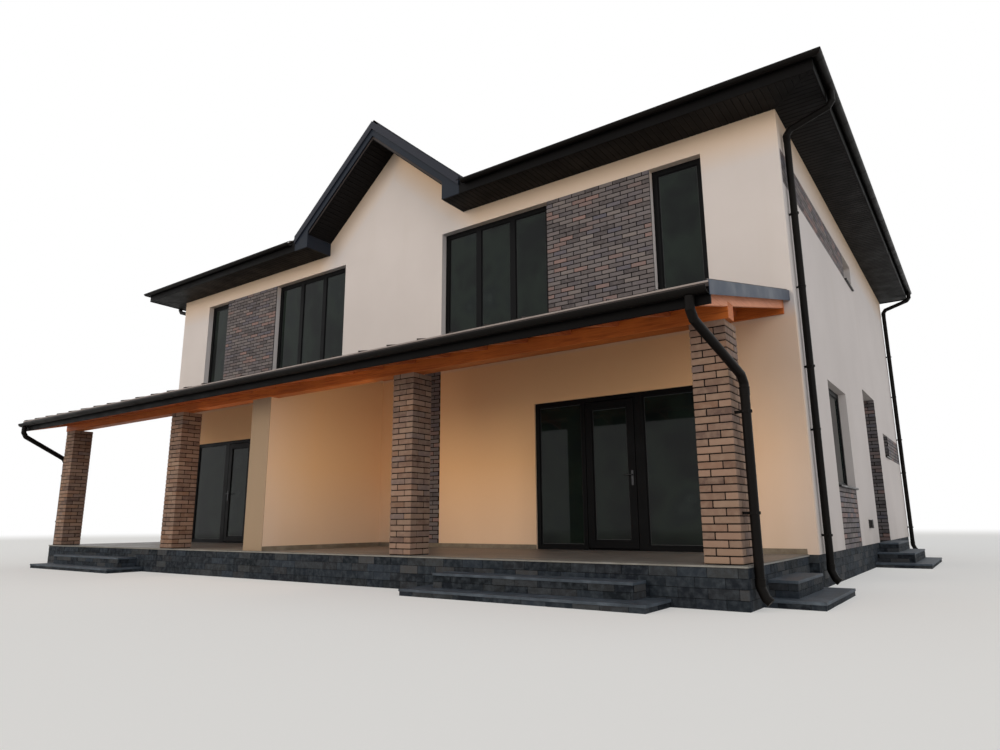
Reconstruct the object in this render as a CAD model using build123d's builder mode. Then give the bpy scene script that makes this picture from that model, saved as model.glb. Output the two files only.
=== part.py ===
from build123d import *
from math import atan2, cos, degrees, radians, tan
import os

os.makedirs("parts", exist_ok=True)

# A pair of two-storey homes under one roof. Millimetres; X runs along the front from the
# line between the homes, Y runs back from the front wall's face, Z runs up from the paving.
# The right-hand home is drawn and mirrored to the left.

# Shell
house_width = 15070
house_depth = 11110
wall = 400
floor_level = 420          # inside floors and porch floor
plinth_inset = 20          # the rendered wall oversails the plinth
ground_slab = 200
upper_floor_level = 3700
floor_slab = 240
soffit_level = 6610
attic_slab = 160

# Roof
roof_pitch = 27
eaves_overhang = 620       # front and sides
rear_overhang = 30         # the rear eaves sit close to the wall
eaves_drop = 240           # roof edge above the soffit line
roof_build = 180           # vertical thickness of the roof slopes
gable_pitch = 40.5
gable_apex = 8500          # top of the wall's gable
gable_spring = 36          # its slopes above the roof edge where they meet the boxed eaves
gable_build = 370          # vertical depth of the gable's roof edge
cap_half = 110             # ridge and hip caps either side of their line, seen from above
cap_rise = 55              # their tops above the slopes; the tiles run in under them
soffit_board = 20
fascia_board = 25
fascia_lip = 10            # fascia below the soffit
barge_board = 30
barge_lower_depth = 320    # vertical depth of the lower and upper boards
barge_upper_depth = 170
barge_foot = 380           # the boards' feet beyond the gable

# Front elevation
front_margin = 1115        # from the side walls to the outermost windows of both storeys
wide_width = 2348
panel_width = 1892
narrow_width = 831
head_below_soffit = 326
sill_above_porch = 98
window_reveal = 120        # frames set back from the wall's face
rear_ground_sill = 1400
rear_ground_head = 2750

# Glazed screen at the porch
screen_width = 3040
screen_head = 2750
screen_reveal = 30
left_light = 780           # glass of the fixed light on the hinge side
hinge_post = 60
lock_post = 148
door_width = 820
door_gap = 9               # between leaf and frame, all round
threshold = 20
leaf_stile = 110
handle_level = 1100        # above the floor
lever_length = 120
lever_radius = 9
lever_reach = 50
keyplate_width = 34
keyplate_height = 220
keyplate_thickness = 8
hinge_count = 3
hinge_first = 250          # above the floor
hinge_spacing = 870
knuckle_radius = 8
knuckle_length = 50
knuckle_gap = 0.5
hinge_leaf = 3             # thickness of the hinges' flaps

# Side elevation: distances back from the front wall's face unless it says otherwise
band_start = 60            # brick bands short of the corners
band_below_soffit = 580
band_height = 530
side_upper_window = (5000, 5900)
side_window = (1880, 3470)
side_window_sill = 1330
side_window_head = 2965
doorway_from_rear = 3840
doorway_width = 1650
doorway_head = 3390
doorway_recess = 250
high_window_from_rear = 2155
high_window_width = 770
high_band_bottom = 2220
high_band_height = 540
vent_from_doorway = 1090
vent_level = 770
vent_size = 150
vent_depth = 50
side_door_width = 1000
side_door_head = 2120      # above the floor
side_door_leaf = 45

# Joinery
window_face = 90           # what shows of a window's frame and of its mullions
window_mullion = 110
frame_face = 70            # the same for the screens and side doors
mullion = 60
frame_depth = 70
glass_thickness = 24
sill_thickness = 30
sill_nose = 40
brick_slip = 20

# Porch
porch_edge = 2640          # platform front from the wall
porch_inset = 135          # platform ends in from the side walls
porch_tile = 20
porch_tile_lip = 15
pier = 382                 # one and a half bricks square
pier_height = 2464         # thirty-two courses
pier_inset = 44            # posts in from the platform's edges
inner_pier_gap = 324       # between the inner posts and the screens
beam_depth = 180
beam_width = 180
rafter_width = 50
rafter_depth = 150
rafter_spacing = 600
rafter_overhang = 735      # plumb cut at the gutter, forward of the platform
ledger_width = 50
ledger_drop = 87           # below the rafters
porch_pitch = 14
birdsmouth = 10            # least depth of the rafters' seat on the beam
porch_board = 20
porch_roofing = 52
porch_verge = 80           # roof past the beam's ends
porch_drip = 30            # roofing past the fascia
flashing = 8
flashing_depth = 190
flashing_cover = 100
party_wall_from_axis = -360
party_wall = 480
party_wall_inset = 70
strip_width = 400          # brick strips on the porch wall, below the wide windows' edge
skirting_height = 70
skirting_thickness = 10

# Steps
first_riser = 80
riser = (floor_level - first_riser) / 2
tread = 310
tread_slab = 30
tread_nose = 12
front_step_from_screen = 392
front_step_width = 2586
front_step_wrap = 260
side_step_tread = 285
side_step_from_edge = 690
side_step_width = 1200
side_step_wrap = 220
door_step_landing = 303
door_step_tread = 270
door_step_margin = 60      # of the landing, either side of the doorway
door_step_near_wrap = 330
door_step_far_wrap = 90

# Rainwater goods
gutter_radius = 62
gutter_wall = 3
gutter_drop = 45           # gutter rim below the roof edge
gutter_end_gap = 20        # between the gutters' ends and the gable's roof edge
pipe_radius = 47
pipe_standoff = 28         # pipe's side to the wall
pipe_offset_drop = 270     # from the soffit to where a pipe meets its wall
front_pipe_from_front = 240
rear_pipe_from_rear = 140
pipe_foot_top = 160        # where a pipe starts to kick out, and how far it goes
pipe_foot_reach = 85
pipe_foot_end = 80
pipe_elbow = 60            # half of an elbow's middle length
pipe_play = 0.3            # between a gutter and its outlet pipe
clip_height = 30
clip_thickness = 5
clip_count = 3
clip_first = 640
clip_spacing = 2205
porch_outlet_from_end = 180
porch_pipe_from_edge = 140
porch_pipe_gap = 10
porch_pipe_drop = 450
porch_clip_first = 900
porch_clip_spacing = 1000

half = house_width / 2
slope = tan(radians(roof_pitch))
gable_slope = tan(radians(gable_pitch))
porch_slope = tan(radians(porch_pitch))

narrow_window = (half - front_margin - narrow_width, half - front_margin)
front_panel = (narrow_window[0] - panel_width, narrow_window[0])
wide_window = (front_panel[0] - wide_width, front_panel[0])
screen = (half - front_margin - screen_width, half - front_margin)

eaves_half = half + eaves_overhang
eaves_rear = house_depth + rear_overhang
eaves_level = soffit_level + eaves_drop
ridge_y = (eaves_rear - eaves_overhang) / 2
hip_run = (eaves_rear + eaves_overhang) / 2
gable_edge = gable_apex + gable_build
gable_half = (gable_apex - gable_spring - eaves_level) / gable_slope
barge_half = gable_half + barge_foot
gable_reach = hip_run      # the gable's roof runs back into the main slopes

porch_half = half - porch_inset
porch_roof_half = porch_half + porch_verge
outer_pier_start = porch_half - pier_inset - pier
inner_pier_start = screen[0] - inner_pier_gap - pier
pier_front = porch_edge - pier_inset
party_wall_front = porch_edge - party_wall_inset
beam_bottom = floor_level + pier_height
beam_top = beam_bottom + beam_depth
beam_rear = pier_front - beam_width
rafter_reach = porch_edge + rafter_overhang
rafter_rise = rafter_depth / cos(radians(porch_pitch))


def rafter_bottom(forward):
    """Level of the rafters' underside at a distance forward of the wall."""
    return beam_top - birdsmouth + porch_slope * (beam_rear - forward)


ledger_bottom = rafter_bottom(0) - ledger_drop
porch_cover = porch_board + porch_roofing
upper_sill = rafter_bottom(0) + rafter_rise + porch_cover + sill_above_porch
upper_head = soffit_level - head_below_soffit
band_top = soffit_level - band_below_soffit
band_bottom = band_top - band_height
doorway = (house_depth - doorway_from_rear - doorway_width, house_depth - doorway_from_rear)
high_window = (house_depth - high_window_from_rear - high_window_width,
               house_depth - high_window_from_rear)
high_band_top = high_band_bottom + high_band_height


def rectangle(start, end, bottom, top, mode=Mode.ADD):
    """A rectangle in the open sketch from two edges and two levels."""
    with Locations(((start + end) / 2, (bottom + top) / 2)):
        Rectangle(end - start, top - bottom, mode=mode)


def panes(start, end, bottom, top, lights=1):
    """Edges and levels of the equal lights inside a window frame."""
    width = (end - start - 2 * window_face - (lights - 1) * window_mullion) / lights
    return [(start + window_face + i * (width + window_mullion),
             start + window_face + i * (width + window_mullion) + width,
             bottom + window_face, top - window_face) for i in range(lights)]


def window_frame(start, end, bottom, top, lights=1):
    """A window frame in the open sketch, open at its lights."""
    rectangle(start, end, bottom, top)
    for light in panes(start, end, bottom, top, lights):
        rectangle(*light, mode=Mode.SUBTRACT)


def hip_volume(edge_level, base_level):
    """Everything under four slopes that start at edge_level, down to base_level."""
    ridge_level = edge_level + hip_run * slope
    with BuildPart() as volume:
        with BuildSketch(Plane.YZ):
            with BuildLine():
                Polyline((-eaves_overhang, base_level), (-eaves_overhang, edge_level),
                         (ridge_y, ridge_level), (eaves_rear, edge_level),
                         (eaves_rear, base_level), close=True)
            make_face()
        extrude(amount=eaves_half, both=True)
        with BuildSketch(Plane.XZ.offset(eaves_overhang)):
            with BuildLine():
                Polyline((-eaves_half, base_level), (-eaves_half, edge_level),
                         (hip_run - eaves_half, ridge_level), (eaves_half - hip_run, ridge_level),
                         (eaves_half, edge_level), (eaves_half, base_level), close=True)
            make_face()
        extrude(amount=-2 * hip_run, mode=Mode.INTERSECT)
    return volume.part


def gable_volume(apex_level, half_width, base_level):
    """Everything under the two gable slopes, down to base_level."""
    edge_level = apex_level - half_width * gable_slope
    with BuildPart() as volume:
        with BuildSketch(Plane.XZ.offset(eaves_overhang)):
            with BuildLine():
                Polyline((-half_width, base_level), (-half_width, edge_level), (0, apex_level),
                         (half_width, edge_level), (half_width, base_level), close=True)
            make_face()
        extrude(amount=-gable_reach)
    return volume.part


roof_base = eaves_level - roof_build
gable_spread = (gable_edge - eaves_level) / gable_slope
inner_half = half - wall   # the side walls run the full depth, the others fit between
inner_rear = house_depth - wall
with BuildPart() as under_roof:
    add(hip_volume(roof_base, 0))
    add(gable_volume(gable_apex, gable_half, 0))

with BuildPart() as main_roof:
    add(hip_volume(eaves_level, roof_base))
    add(under_roof.part, mode=Mode.SUBTRACT)
main_roof.part.label = "main_roof"
export_step(main_roof.part, "parts/main_roof.step")

with BuildPart() as gable_roof:
    add(gable_volume(gable_edge, gable_spread, roof_base))
    add(under_roof.part, mode=Mode.SUBTRACT)
    add(hip_volume(eaves_level, roof_base), mode=Mode.SUBTRACT)
gable_roof.part.label = "gable_roof"
export_step(gable_roof.part, "parts/gable_roof.step")

# Ridge and hip caps: bands of a thin skin over the slopes, and the gable's own ridge
def above_roof(part_above, *bands):
    """What is above the slopes, in bands of the plan given by their ends and turn."""
    with BuildPart() as caps:
        add(part_above)
        with BuildSketch():
            for start, end in bands:
                middle, run = (start + end) / 2, end - start
                turn = degrees(atan2(run.Y, run.X))
                with Locations(Location((middle.X, middle.Y, 0), (0, 0, turn))):
                    Rectangle(run.length + 2 * cap_half, 2 * cap_half)
        extrude(amount=2 * gable_edge, mode=Mode.INTERSECT)
        add(hip_volume(eaves_level, 0), mode=Mode.SUBTRACT)
        add(gable_volume(gable_edge, gable_spread, 0), mode=Mode.SUBTRACT)
    return caps.part


ridge_half = eaves_half - hip_run
ridge_ends = Vector(-ridge_half, ridge_y), Vector(ridge_half, ridge_y)
eaves_corners = [Vector(x, y) for x in (-eaves_half, eaves_half) for y in (-eaves_overhang, eaves_rear)]
hips = [(corner, ridge_ends[corner.X > 0]) for corner in eaves_corners]
with BuildPart() as ridge_caps:
    add(above_roof(hip_volume(eaves_level + cap_rise, eaves_level), ridge_ends, *hips))
    add(above_roof(gable_volume(gable_edge + cap_rise, gable_spread, eaves_level),
                   (Vector(0, -eaves_overhang), Vector(0, ridge_y))))
ridge_caps.part.label = "ridge_caps"
export_step(ridge_caps.part, "parts/ridge_caps.step")

# Eaves: soffits mitred at the corners, fascias, and boards that close the boxes at the gable
with BuildPart() as front_soffits:
    with BuildSketch(Plane.XY.offset(soffit_level)):
        with BuildLine():
            Polyline((gable_half, 0), (half, 0), (eaves_half, -eaves_overhang),
                     (gable_half, -eaves_overhang), close=True)
        make_face()
        mirror(about=Plane.YZ)
    extrude(amount=soffit_board)
front_soffits.part.label = "front_soffits"
export_step(front_soffits.part, "parts/front_soffits.step")

with BuildPart() as side_soffits:
    with BuildSketch(Plane.XY.offset(soffit_level)):
        with BuildLine():
            Polyline((half, 0), (eaves_half, -eaves_overhang), (eaves_half, house_depth),
                     (half, house_depth), close=True)
        make_face()
        mirror(about=Plane.YZ)
    extrude(amount=soffit_board)
side_soffits.part.label = "side_soffits"
export_step(side_soffits.part, "parts/side_soffits.step")

fascia_bottom = soffit_level - fascia_lip
fascia_height = eaves_level - fascia_bottom
with BuildPart() as front_fascias:
    with BuildSketch(Plane.XY.offset(fascia_bottom)):
        rectangle(barge_half, eaves_half + fascia_board,
                  -eaves_overhang - fascia_board, -eaves_overhang)
        mirror(about=Plane.YZ)
    extrude(amount=fascia_height)
front_fascias.part.label = "front_fascias"
export_step(front_fascias.part, "parts/front_fascias.step")

with BuildPart() as side_fascias:
    with BuildSketch(Plane.XY.offset(fascia_bottom)):
        rectangle(eaves_half, eaves_half + fascia_board, -eaves_overhang, eaves_rear)
        mirror(about=Plane.YZ)
    extrude(amount=fascia_height)
side_fascias.part.label = "side_fascias"
export_step(side_fascias.part, "parts/side_fascias.step")

with BuildPart() as rear_fascia:
    with BuildSketch(Plane.XY.offset(fascia_bottom)):
        rectangle(-eaves_half - fascia_board, eaves_half + fascia_board,
                  eaves_rear, eaves_rear + fascia_board)
        rectangle(-half, half, house_depth, eaves_rear)
    extrude(amount=fascia_height - roof_build)
    with BuildSketch(Plane.XY.offset(roof_base)):
        rectangle(-eaves_half - fascia_board, eaves_half + fascia_board,
                  eaves_rear, eaves_rear + fascia_board)
    extrude(amount=roof_build)
rear_fascia.part.label = "rear_fascia"
export_step(rear_fascia.part, "parts/rear_fascia.step")

with BuildPart() as eaves_returns:
    with BuildSketch(Plane.XY.offset(fascia_bottom)):
        rectangle(gable_half - fascia_board, gable_half, -eaves_overhang, 0)
        mirror(about=Plane.YZ)
    extrude(amount=gable_apex - gable_half * gable_slope - fascia_bottom)
eaves_returns.part.label = "eaves_returns"
export_step(eaves_returns.part, "parts/eaves_returns.step")

# Gable boards: a deep lower board with feet that cover the box ends, a narrow one before it
barge_edge = gable_edge - barge_half * gable_slope
with BuildPart() as gable_boards:
    with BuildSketch(Plane.XZ.offset(eaves_overhang)):
        with BuildLine():
            foot = gable_half - fascia_board
            Polyline((0, gable_edge), (barge_half, barge_edge), (barge_half, fascia_bottom),
                     (foot, fascia_bottom),
                     (foot, gable_edge - barge_lower_depth - foot * gable_slope),
                     (0, gable_edge - barge_lower_depth), close=True)
        make_face()
        mirror(about=Plane.YZ)
    extrude(amount=barge_board)
    with BuildSketch(Plane.XZ.offset(eaves_overhang + barge_board)):
        with BuildLine():
            Polyline((0, gable_edge), (barge_half, barge_edge),
                     (barge_half, barge_edge - barge_upper_depth),
                     (0, gable_edge - barge_upper_depth), close=True)
        make_face()
        mirror(about=Plane.YZ)
    extrude(amount=barge_board)
gable_boards.part.label = "gable_boards"
export_step(gable_boards.part, "parts/gable_boards.step")

# Brick slips, let into the walls flush with the render
with BuildPart() as brick_panels:
    with BuildSketch(Plane.XZ):
        rectangle(*front_panel, upper_sill, upper_head)
        rectangle(wide_window[0] - strip_width, wide_window[0], floor_level, ledger_bottom)
    extrude(amount=-brick_slip)
    with BuildSketch(Plane.YZ.offset(half)):
        rectangle(band_start, side_upper_window[0], band_bottom, band_top)
        rectangle(*side_window, floor_level, side_window_sill)
        rectangle(high_window[1], house_depth - band_start, high_band_bottom, high_band_top)
    extrude(amount=-brick_slip)
    mirror(about=Plane.YZ)
brick_panels.part.label = "brick_panels"
export_step(brick_panels.part, "parts/brick_panels.step")

with BuildPart() as doorway_linings:
    with BuildSketch(Plane.YZ.offset(half)):
        rectangle(doorway[0], doorway[0] + brick_slip, floor_level, doorway_head)
        rectangle(doorway[1] - brick_slip, doorway[1], floor_level, doorway_head)
    extrude(amount=-doorway_recess)
    with BuildSketch(Plane.YZ.offset(half)):
        rectangle(high_window[1] - brick_slip, high_window[1],
                  high_band_bottom + sill_thickness, high_band_top)
    extrude(amount=-window_reveal)
    mirror(about=Plane.YZ)
doorway_linings.part.label = "doorway_linings"
export_step(doorway_linings.part, "parts/doorway_linings.step")

# Walls. Their tops are cut to the underside of the roof.
wall_top = gable_apex
with BuildPart() as plinth:
    with BuildSketch():
        rectangle(plinth_inset - half, half - plinth_inset,
                  plinth_inset, house_depth - plinth_inset)
        rectangle(-inner_half, inner_half, wall, inner_rear, mode=Mode.SUBTRACT)
    extrude(amount=floor_level)
plinth.part.label = "plinth"
export_step(plinth.part, "parts/plinth.step")

with BuildPart() as front_wall_piers:
    with BuildSketch(Plane.XZ):
        rectangle(-inner_half, -screen[1], floor_level, screen_head)
        rectangle(-screen[0], screen[0], floor_level, screen_head)
        rectangle(screen[1], inner_half, floor_level, screen_head)
    extrude(amount=-wall)
    add(brick_panels.part, mode=Mode.SUBTRACT)
front_wall_piers.part.label = "front_wall_piers"
export_step(front_wall_piers.part, "parts/front_wall_piers.step")

with BuildPart() as front_wall_upper:
    with BuildSketch(Plane.XZ):
        rectangle(-inner_half, inner_half, screen_head, wall_top)
        for window in (wide_window, narrow_window):
            rectangle(*window, upper_sill, upper_head, mode=Mode.SUBTRACT)
            rectangle(-window[1], -window[0], upper_sill, upper_head, mode=Mode.SUBTRACT)
    extrude(amount=-wall)
    add(under_roof.part, mode=Mode.INTERSECT)
    add(brick_panels.part, mode=Mode.SUBTRACT)
front_wall_upper.part.label = "front_wall_upper"
export_step(front_wall_upper.part, "parts/front_wall_upper.step")

with BuildPart() as rear_wall:
    with BuildSketch(Plane.XZ.offset(-inner_rear)):
        rectangle(-inner_half, inner_half, floor_level, wall_top)
        for sill, head in ((rear_ground_sill, rear_ground_head), (upper_sill, upper_head)):
            rectangle(*wide_window, sill, head, mode=Mode.SUBTRACT)
            rectangle(-wide_window[1], -wide_window[0], sill, head, mode=Mode.SUBTRACT)
    extrude(amount=-wall)
    add(under_roof.part, mode=Mode.INTERSECT)
rear_wall.part.label = "rear_wall"
export_step(rear_wall.part, "parts/rear_wall.step")

side_windows = (
    (*side_upper_window, band_bottom, band_top),
    (*side_window, side_window_sill, side_window_head),
    (*high_window, high_band_bottom, high_band_top),
)
with BuildPart() as right_side_wall:
    with BuildSketch(Plane.YZ.offset(half)):
        rectangle(0, house_depth, floor_level, wall_top)
        rectangle(*doorway, floor_level, doorway_head, mode=Mode.SUBTRACT)
        for opening in side_windows:
            rectangle(*opening, mode=Mode.SUBTRACT)
    extrude(amount=-wall)
    add(under_roof.part, mode=Mode.INTERSECT)
    add(brick_panels.part, mode=Mode.SUBTRACT)
right_side_wall.part.label = "right_side_wall"
export_step(right_side_wall.part, "parts/right_side_wall.step")

with BuildPart() as left_side_wall:
    mirror(right_side_wall.part, about=Plane.YZ)
left_side_wall.part.label = "left_side_wall"
export_step(left_side_wall.part, "parts/left_side_wall.step")

# Floors
for name, top, thickness in (
    ("ground_floor_slab", floor_level, ground_slab),
    ("upper_floor_slab", upper_floor_level, floor_slab),
    ("attic_slab", soffit_level, attic_slab),
):
    with BuildPart() as slab:
        with BuildSketch(Plane.XY.offset(top - thickness)):
            rectangle(-inner_half, inner_half, wall, inner_rear)
        extrude(amount=thickness)
    slab.part.label = name
    export_step(slab.part, f"parts/{name}.step")

# Windows: frames, panes centred in them, and sills that run out past the wall
pane_inset = (frame_depth - glass_thickness) / 2
rear_frame_plane = house_depth - window_reveal - frame_depth
rear_levels = ((rear_ground_sill, rear_ground_head), (upper_sill, upper_head))
with BuildPart() as window_frames:
    with BuildSketch(Plane.XZ.offset(-window_reveal)):
        window_frame(*wide_window, upper_sill, upper_head, lights=3)
        window_frame(*narrow_window, upper_sill, upper_head)
    extrude(amount=-frame_depth)
    with BuildSketch(Plane.XZ.offset(-rear_frame_plane)):
        for sill, head in rear_levels:
            window_frame(*wide_window, sill, head, lights=3)
    extrude(amount=-frame_depth)
    with BuildSketch(Plane.YZ.offset(half - window_reveal)):
        for opening in side_windows:
            window_frame(*opening)
    extrude(amount=-frame_depth)
    mirror(about=Plane.YZ)
window_frames.part.label = "window_frames"
export_step(window_frames.part, "parts/window_frames.step")

with BuildPart() as window_glass:
    with BuildSketch(Plane.XZ.offset(-window_reveal - pane_inset)):
        for light in panes(*wide_window, upper_sill, upper_head, lights=3):
            rectangle(*light)
        rectangle(*panes(*narrow_window, upper_sill, upper_head)[0])
    extrude(amount=-glass_thickness)
    with BuildSketch(Plane.XZ.offset(-rear_frame_plane - pane_inset)):
        for sill, head in rear_levels:
            for light in panes(*wide_window, sill, head, lights=3):
                rectangle(*light)
    extrude(amount=-glass_thickness)
    with BuildSketch(Plane.YZ.offset(half - window_reveal - pane_inset)):
        for opening in side_windows:
            rectangle(*panes(*opening)[0])
    extrude(amount=-glass_thickness)
    mirror(about=Plane.YZ)
window_glass.part.label = "window_glass"
export_step(window_glass.part, "parts/window_glass.step")

with BuildPart() as window_sills:
    with BuildSketch(Plane.XY.offset(upper_sill)):
        for window in (wide_window, narrow_window):
            rectangle(*window, -sill_nose, window_reveal)
        rectangle(*wide_window, house_depth - window_reveal, house_depth + sill_nose)
    extrude(amount=sill_thickness)
    with BuildSketch(Plane.XY.offset(rear_ground_sill)):
        rectangle(*wide_window, house_depth - window_reveal, house_depth + sill_nose)
    extrude(amount=sill_thickness)
    for opening in side_windows:
        with BuildSketch(Plane.XY.offset(opening[2])):
            rectangle(half - window_reveal, half + sill_nose, *opening[:2])
        extrude(amount=sill_thickness)
    mirror(about=Plane.YZ)
window_sills.part.label = "window_sills"
export_step(window_sills.part, "parts/window_sills.step")

# Side doors at the back of their brick-lined doorways
side_frame_face = half - doorway_recess
side_door = (doorway[0] + frame_face, doorway[0] + frame_face + side_door_width)
side_door_top = floor_level + side_door_head
side_light = (side_door[1] + mullion, doorway[1] - frame_face)
top_lights = (side_door_top + mullion, doorway_head - frame_face)
with BuildPart() as side_door_frames:
    with BuildSketch(Plane.YZ.offset(side_frame_face)):
        rectangle(*doorway, floor_level, doorway_head)
        rectangle(*side_door, floor_level, side_door_top, mode=Mode.SUBTRACT)
        rectangle(*side_light, floor_level + frame_face, side_door_top, mode=Mode.SUBTRACT)
        rectangle(*side_door, *top_lights, mode=Mode.SUBTRACT)
        rectangle(*side_light, *top_lights, mode=Mode.SUBTRACT)
    extrude(amount=-frame_depth)
    mirror(about=Plane.YZ)
side_door_frames.part.label = "side_door_frames"
export_step(side_door_frames.part, "parts/side_door_frames.step")

with BuildPart() as side_door_leaves:
    with BuildSketch(Plane.YZ.offset(side_frame_face)):
        rectangle(*side_door, floor_level, side_door_top)
    extrude(amount=-side_door_leaf)
    mirror(about=Plane.YZ)
side_door_leaves.part.label = "side_door_leaves"
export_step(side_door_leaves.part, "parts/side_door_leaves.step")

with BuildPart() as side_door_glass:
    with BuildSketch(Plane.YZ.offset(side_frame_face - pane_inset)):
        rectangle(*side_light, floor_level + frame_face, side_door_top)
        rectangle(*side_door, *top_lights)
        rectangle(*side_light, *top_lights)
    extrude(amount=-glass_thickness)
    mirror(about=Plane.YZ)
side_door_glass.part.label = "side_door_glass"
export_step(side_door_glass.part, "parts/side_door_glass.step")

with BuildPart() as side_vents:
    with BuildSketch(Plane.YZ.offset(half)):
        with Locations((doorway[0] - vent_from_doorway, vent_level)):
            Rectangle(vent_size, vent_size)
    extrude(amount=vent_depth, taper=12)
    mirror(about=Plane.YZ)
side_vents.part.label = "side_vents"
export_step(side_vents.part, "parts/side_vents.step")

# Porch screens: a light, the door, a light
left_pane = (screen[0] + frame_face, screen[0] + frame_face + left_light)
door_cell = (left_pane[1] + hinge_post, left_pane[1] + hinge_post + door_width + 2 * door_gap)
right_pane = (door_cell[1] + lock_post, screen[1] - frame_face)
pane_levels = (floor_level + frame_face, screen_head - frame_face)
with BuildPart() as screen_frames:
    with BuildSketch(Plane.XZ.offset(-screen_reveal)):
        rectangle(*screen, floor_level, screen_head)
        rectangle(*left_pane, *pane_levels, mode=Mode.SUBTRACT)
        rectangle(*right_pane, *pane_levels, mode=Mode.SUBTRACT)
        rectangle(*door_cell, floor_level + threshold, screen_head - frame_face,
                  mode=Mode.SUBTRACT)
        mirror(about=Plane.YZ)
    extrude(amount=-frame_depth)
screen_frames.part.label = "screen_frames"
export_step(screen_frames.part, "parts/screen_frames.step")

leaf = (door_cell[0] + door_gap, door_cell[1] - door_gap)
leaf_levels = (floor_level + threshold + door_gap, screen_head - frame_face - door_gap)
leaf_pane = (leaf[0] + leaf_stile, leaf[1] - leaf_stile)
leaf_pane_levels = (leaf_levels[0] + leaf_stile, leaf_levels[1] - leaf_stile)
with BuildPart() as door_leaf:
    with BuildSketch(Plane.XZ.offset(-screen_reveal)):
        rectangle(*leaf, *leaf_levels)
        rectangle(*leaf_pane, *leaf_pane_levels, mode=Mode.SUBTRACT)
    extrude(amount=-frame_depth)
door_leaf.part.label = "door_leaf"
export_step(door_leaf.part, "parts/door_leaf.step")

with BuildPart() as door_glass:
    with BuildSketch(Plane.XZ.offset(-screen_reveal - pane_inset)):
        rectangle(*leaf_pane, *leaf_pane_levels)
    extrude(amount=-glass_thickness)
door_glass.part.label = "door_glass"
export_step(door_glass.part, "parts/door_glass.step")

with BuildPart() as screen_glass:
    with BuildSketch(Plane.XZ.offset(-screen_reveal - pane_inset)):
        rectangle(*left_pane, *pane_levels)
        rectangle(*right_pane, *pane_levels)
        mirror(about=Plane.YZ)
    extrude(amount=-glass_thickness)
    mirror(door_glass.part, about=Plane.YZ)
screen_glass.part.label = "screen_glass"
export_step(screen_glass.part, "parts/screen_glass.step")

# Door handles: a keyplate and a mitred lever of round bar on each face of the leaf
stile_middle = leaf[1] - leaf_stile / 2
handle_z = floor_level + handle_level
leaf_outside = screen_reveal
leaf_inside = screen_reveal + frame_depth
hinge_x = leaf[0] - door_gap / 2
hinge_y = leaf_inside + knuckle_radius + knuckle_gap
with BuildPart() as door_handles:
    with BuildSketch(Plane.XZ.offset(-leaf_outside)):
        with Locations((stile_middle, handle_z - keyplate_height / 5)):
            RectangleRounded(keyplate_width, keyplate_height, keyplate_width / 3)
    extrude(amount=keyplate_thickness)
    with BuildLine():
        lever = Polyline((stile_middle, leaf_outside, handle_z),
                         (stile_middle, leaf_outside - lever_reach, handle_z),
                         (stile_middle - lever_length, leaf_outside - lever_reach, handle_z))
    with BuildSketch(Plane(origin=lever @ 0, z_dir=lever % 0)):
        Circle(lever_radius)
    sweep(path=lever, transition=Transition.RIGHT)
    mirror(about=Plane.XZ.offset(-(leaf_outside + leaf_inside) / 2))
door_handles.part.label = "door_handles"
export_step(door_handles.part, "parts/door_handles.step")

# Lift-off hinges: the leaf's knuckles turn on those of the post
hinge_levels = [floor_level + hinge_first + i * hinge_spacing for i in range(hinge_count)]
with BuildPart() as leaf_hinges:
    for level in hinge_levels:
        with BuildSketch(Plane.XY.offset(level + knuckle_gap / 2)):
            with Locations((hinge_x, hinge_y)):
                Circle(knuckle_radius)
            rectangle(leaf[0], hinge_x + knuckle_radius, leaf_inside, hinge_y)
            rectangle(leaf[0], leaf[0] + leaf_stile / 3, leaf_inside, leaf_inside + hinge_leaf)
        extrude(amount=knuckle_length)
leaf_hinges.part.label = "leaf_hinges"
export_step(leaf_hinges.part, "parts/leaf_hinges.step")

with BuildPart() as post_hinges:
    for level in hinge_levels:
        with BuildSketch(Plane.XY.offset(level - knuckle_gap / 2)):
            with Locations((hinge_x, hinge_y)):
                Circle(knuckle_radius)
            rectangle(hinge_x - knuckle_radius, door_cell[0], leaf_inside, hinge_y)
            rectangle(door_cell[0] - hinge_post / 2, door_cell[0],
                      leaf_inside, leaf_inside + hinge_leaf)
        extrude(amount=-knuckle_length)
    mirror(about=Plane.YZ)
post_hinges.part.label = "post_hinges"
export_step(post_hinges.part, "parts/post_hinges.step")

for name, source in (("left_door_leaf", door_leaf), ("left_door_handles", door_handles),
                     ("left_leaf_hinges", leaf_hinges)):
    with BuildPart() as copy:
        mirror(source.part, about=Plane.YZ)
    copy.part.label = name
    export_step(copy.part, f"parts/{name}.step")

# Porch base
with BuildPart() as porch_platform:
    with BuildSketch():
        rectangle(-porch_half, porch_half, -porch_edge, plinth_inset)
    extrude(amount=floor_level - porch_tile)
porch_platform.part.label = "porch_platform"
export_step(porch_platform.part, "parts/porch_platform.step")

with BuildPart() as porch_floor:
    with BuildSketch(Plane.XY.offset(floor_level - porch_tile)):
        rectangle(-porch_half - porch_tile_lip, porch_half + porch_tile_lip,
                  -porch_edge - porch_tile_lip, plinth_inset)
    extrude(amount=porch_tile)
porch_floor.part.label = "porch_floor"
export_step(porch_floor.part, "parts/porch_floor.step")

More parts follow.
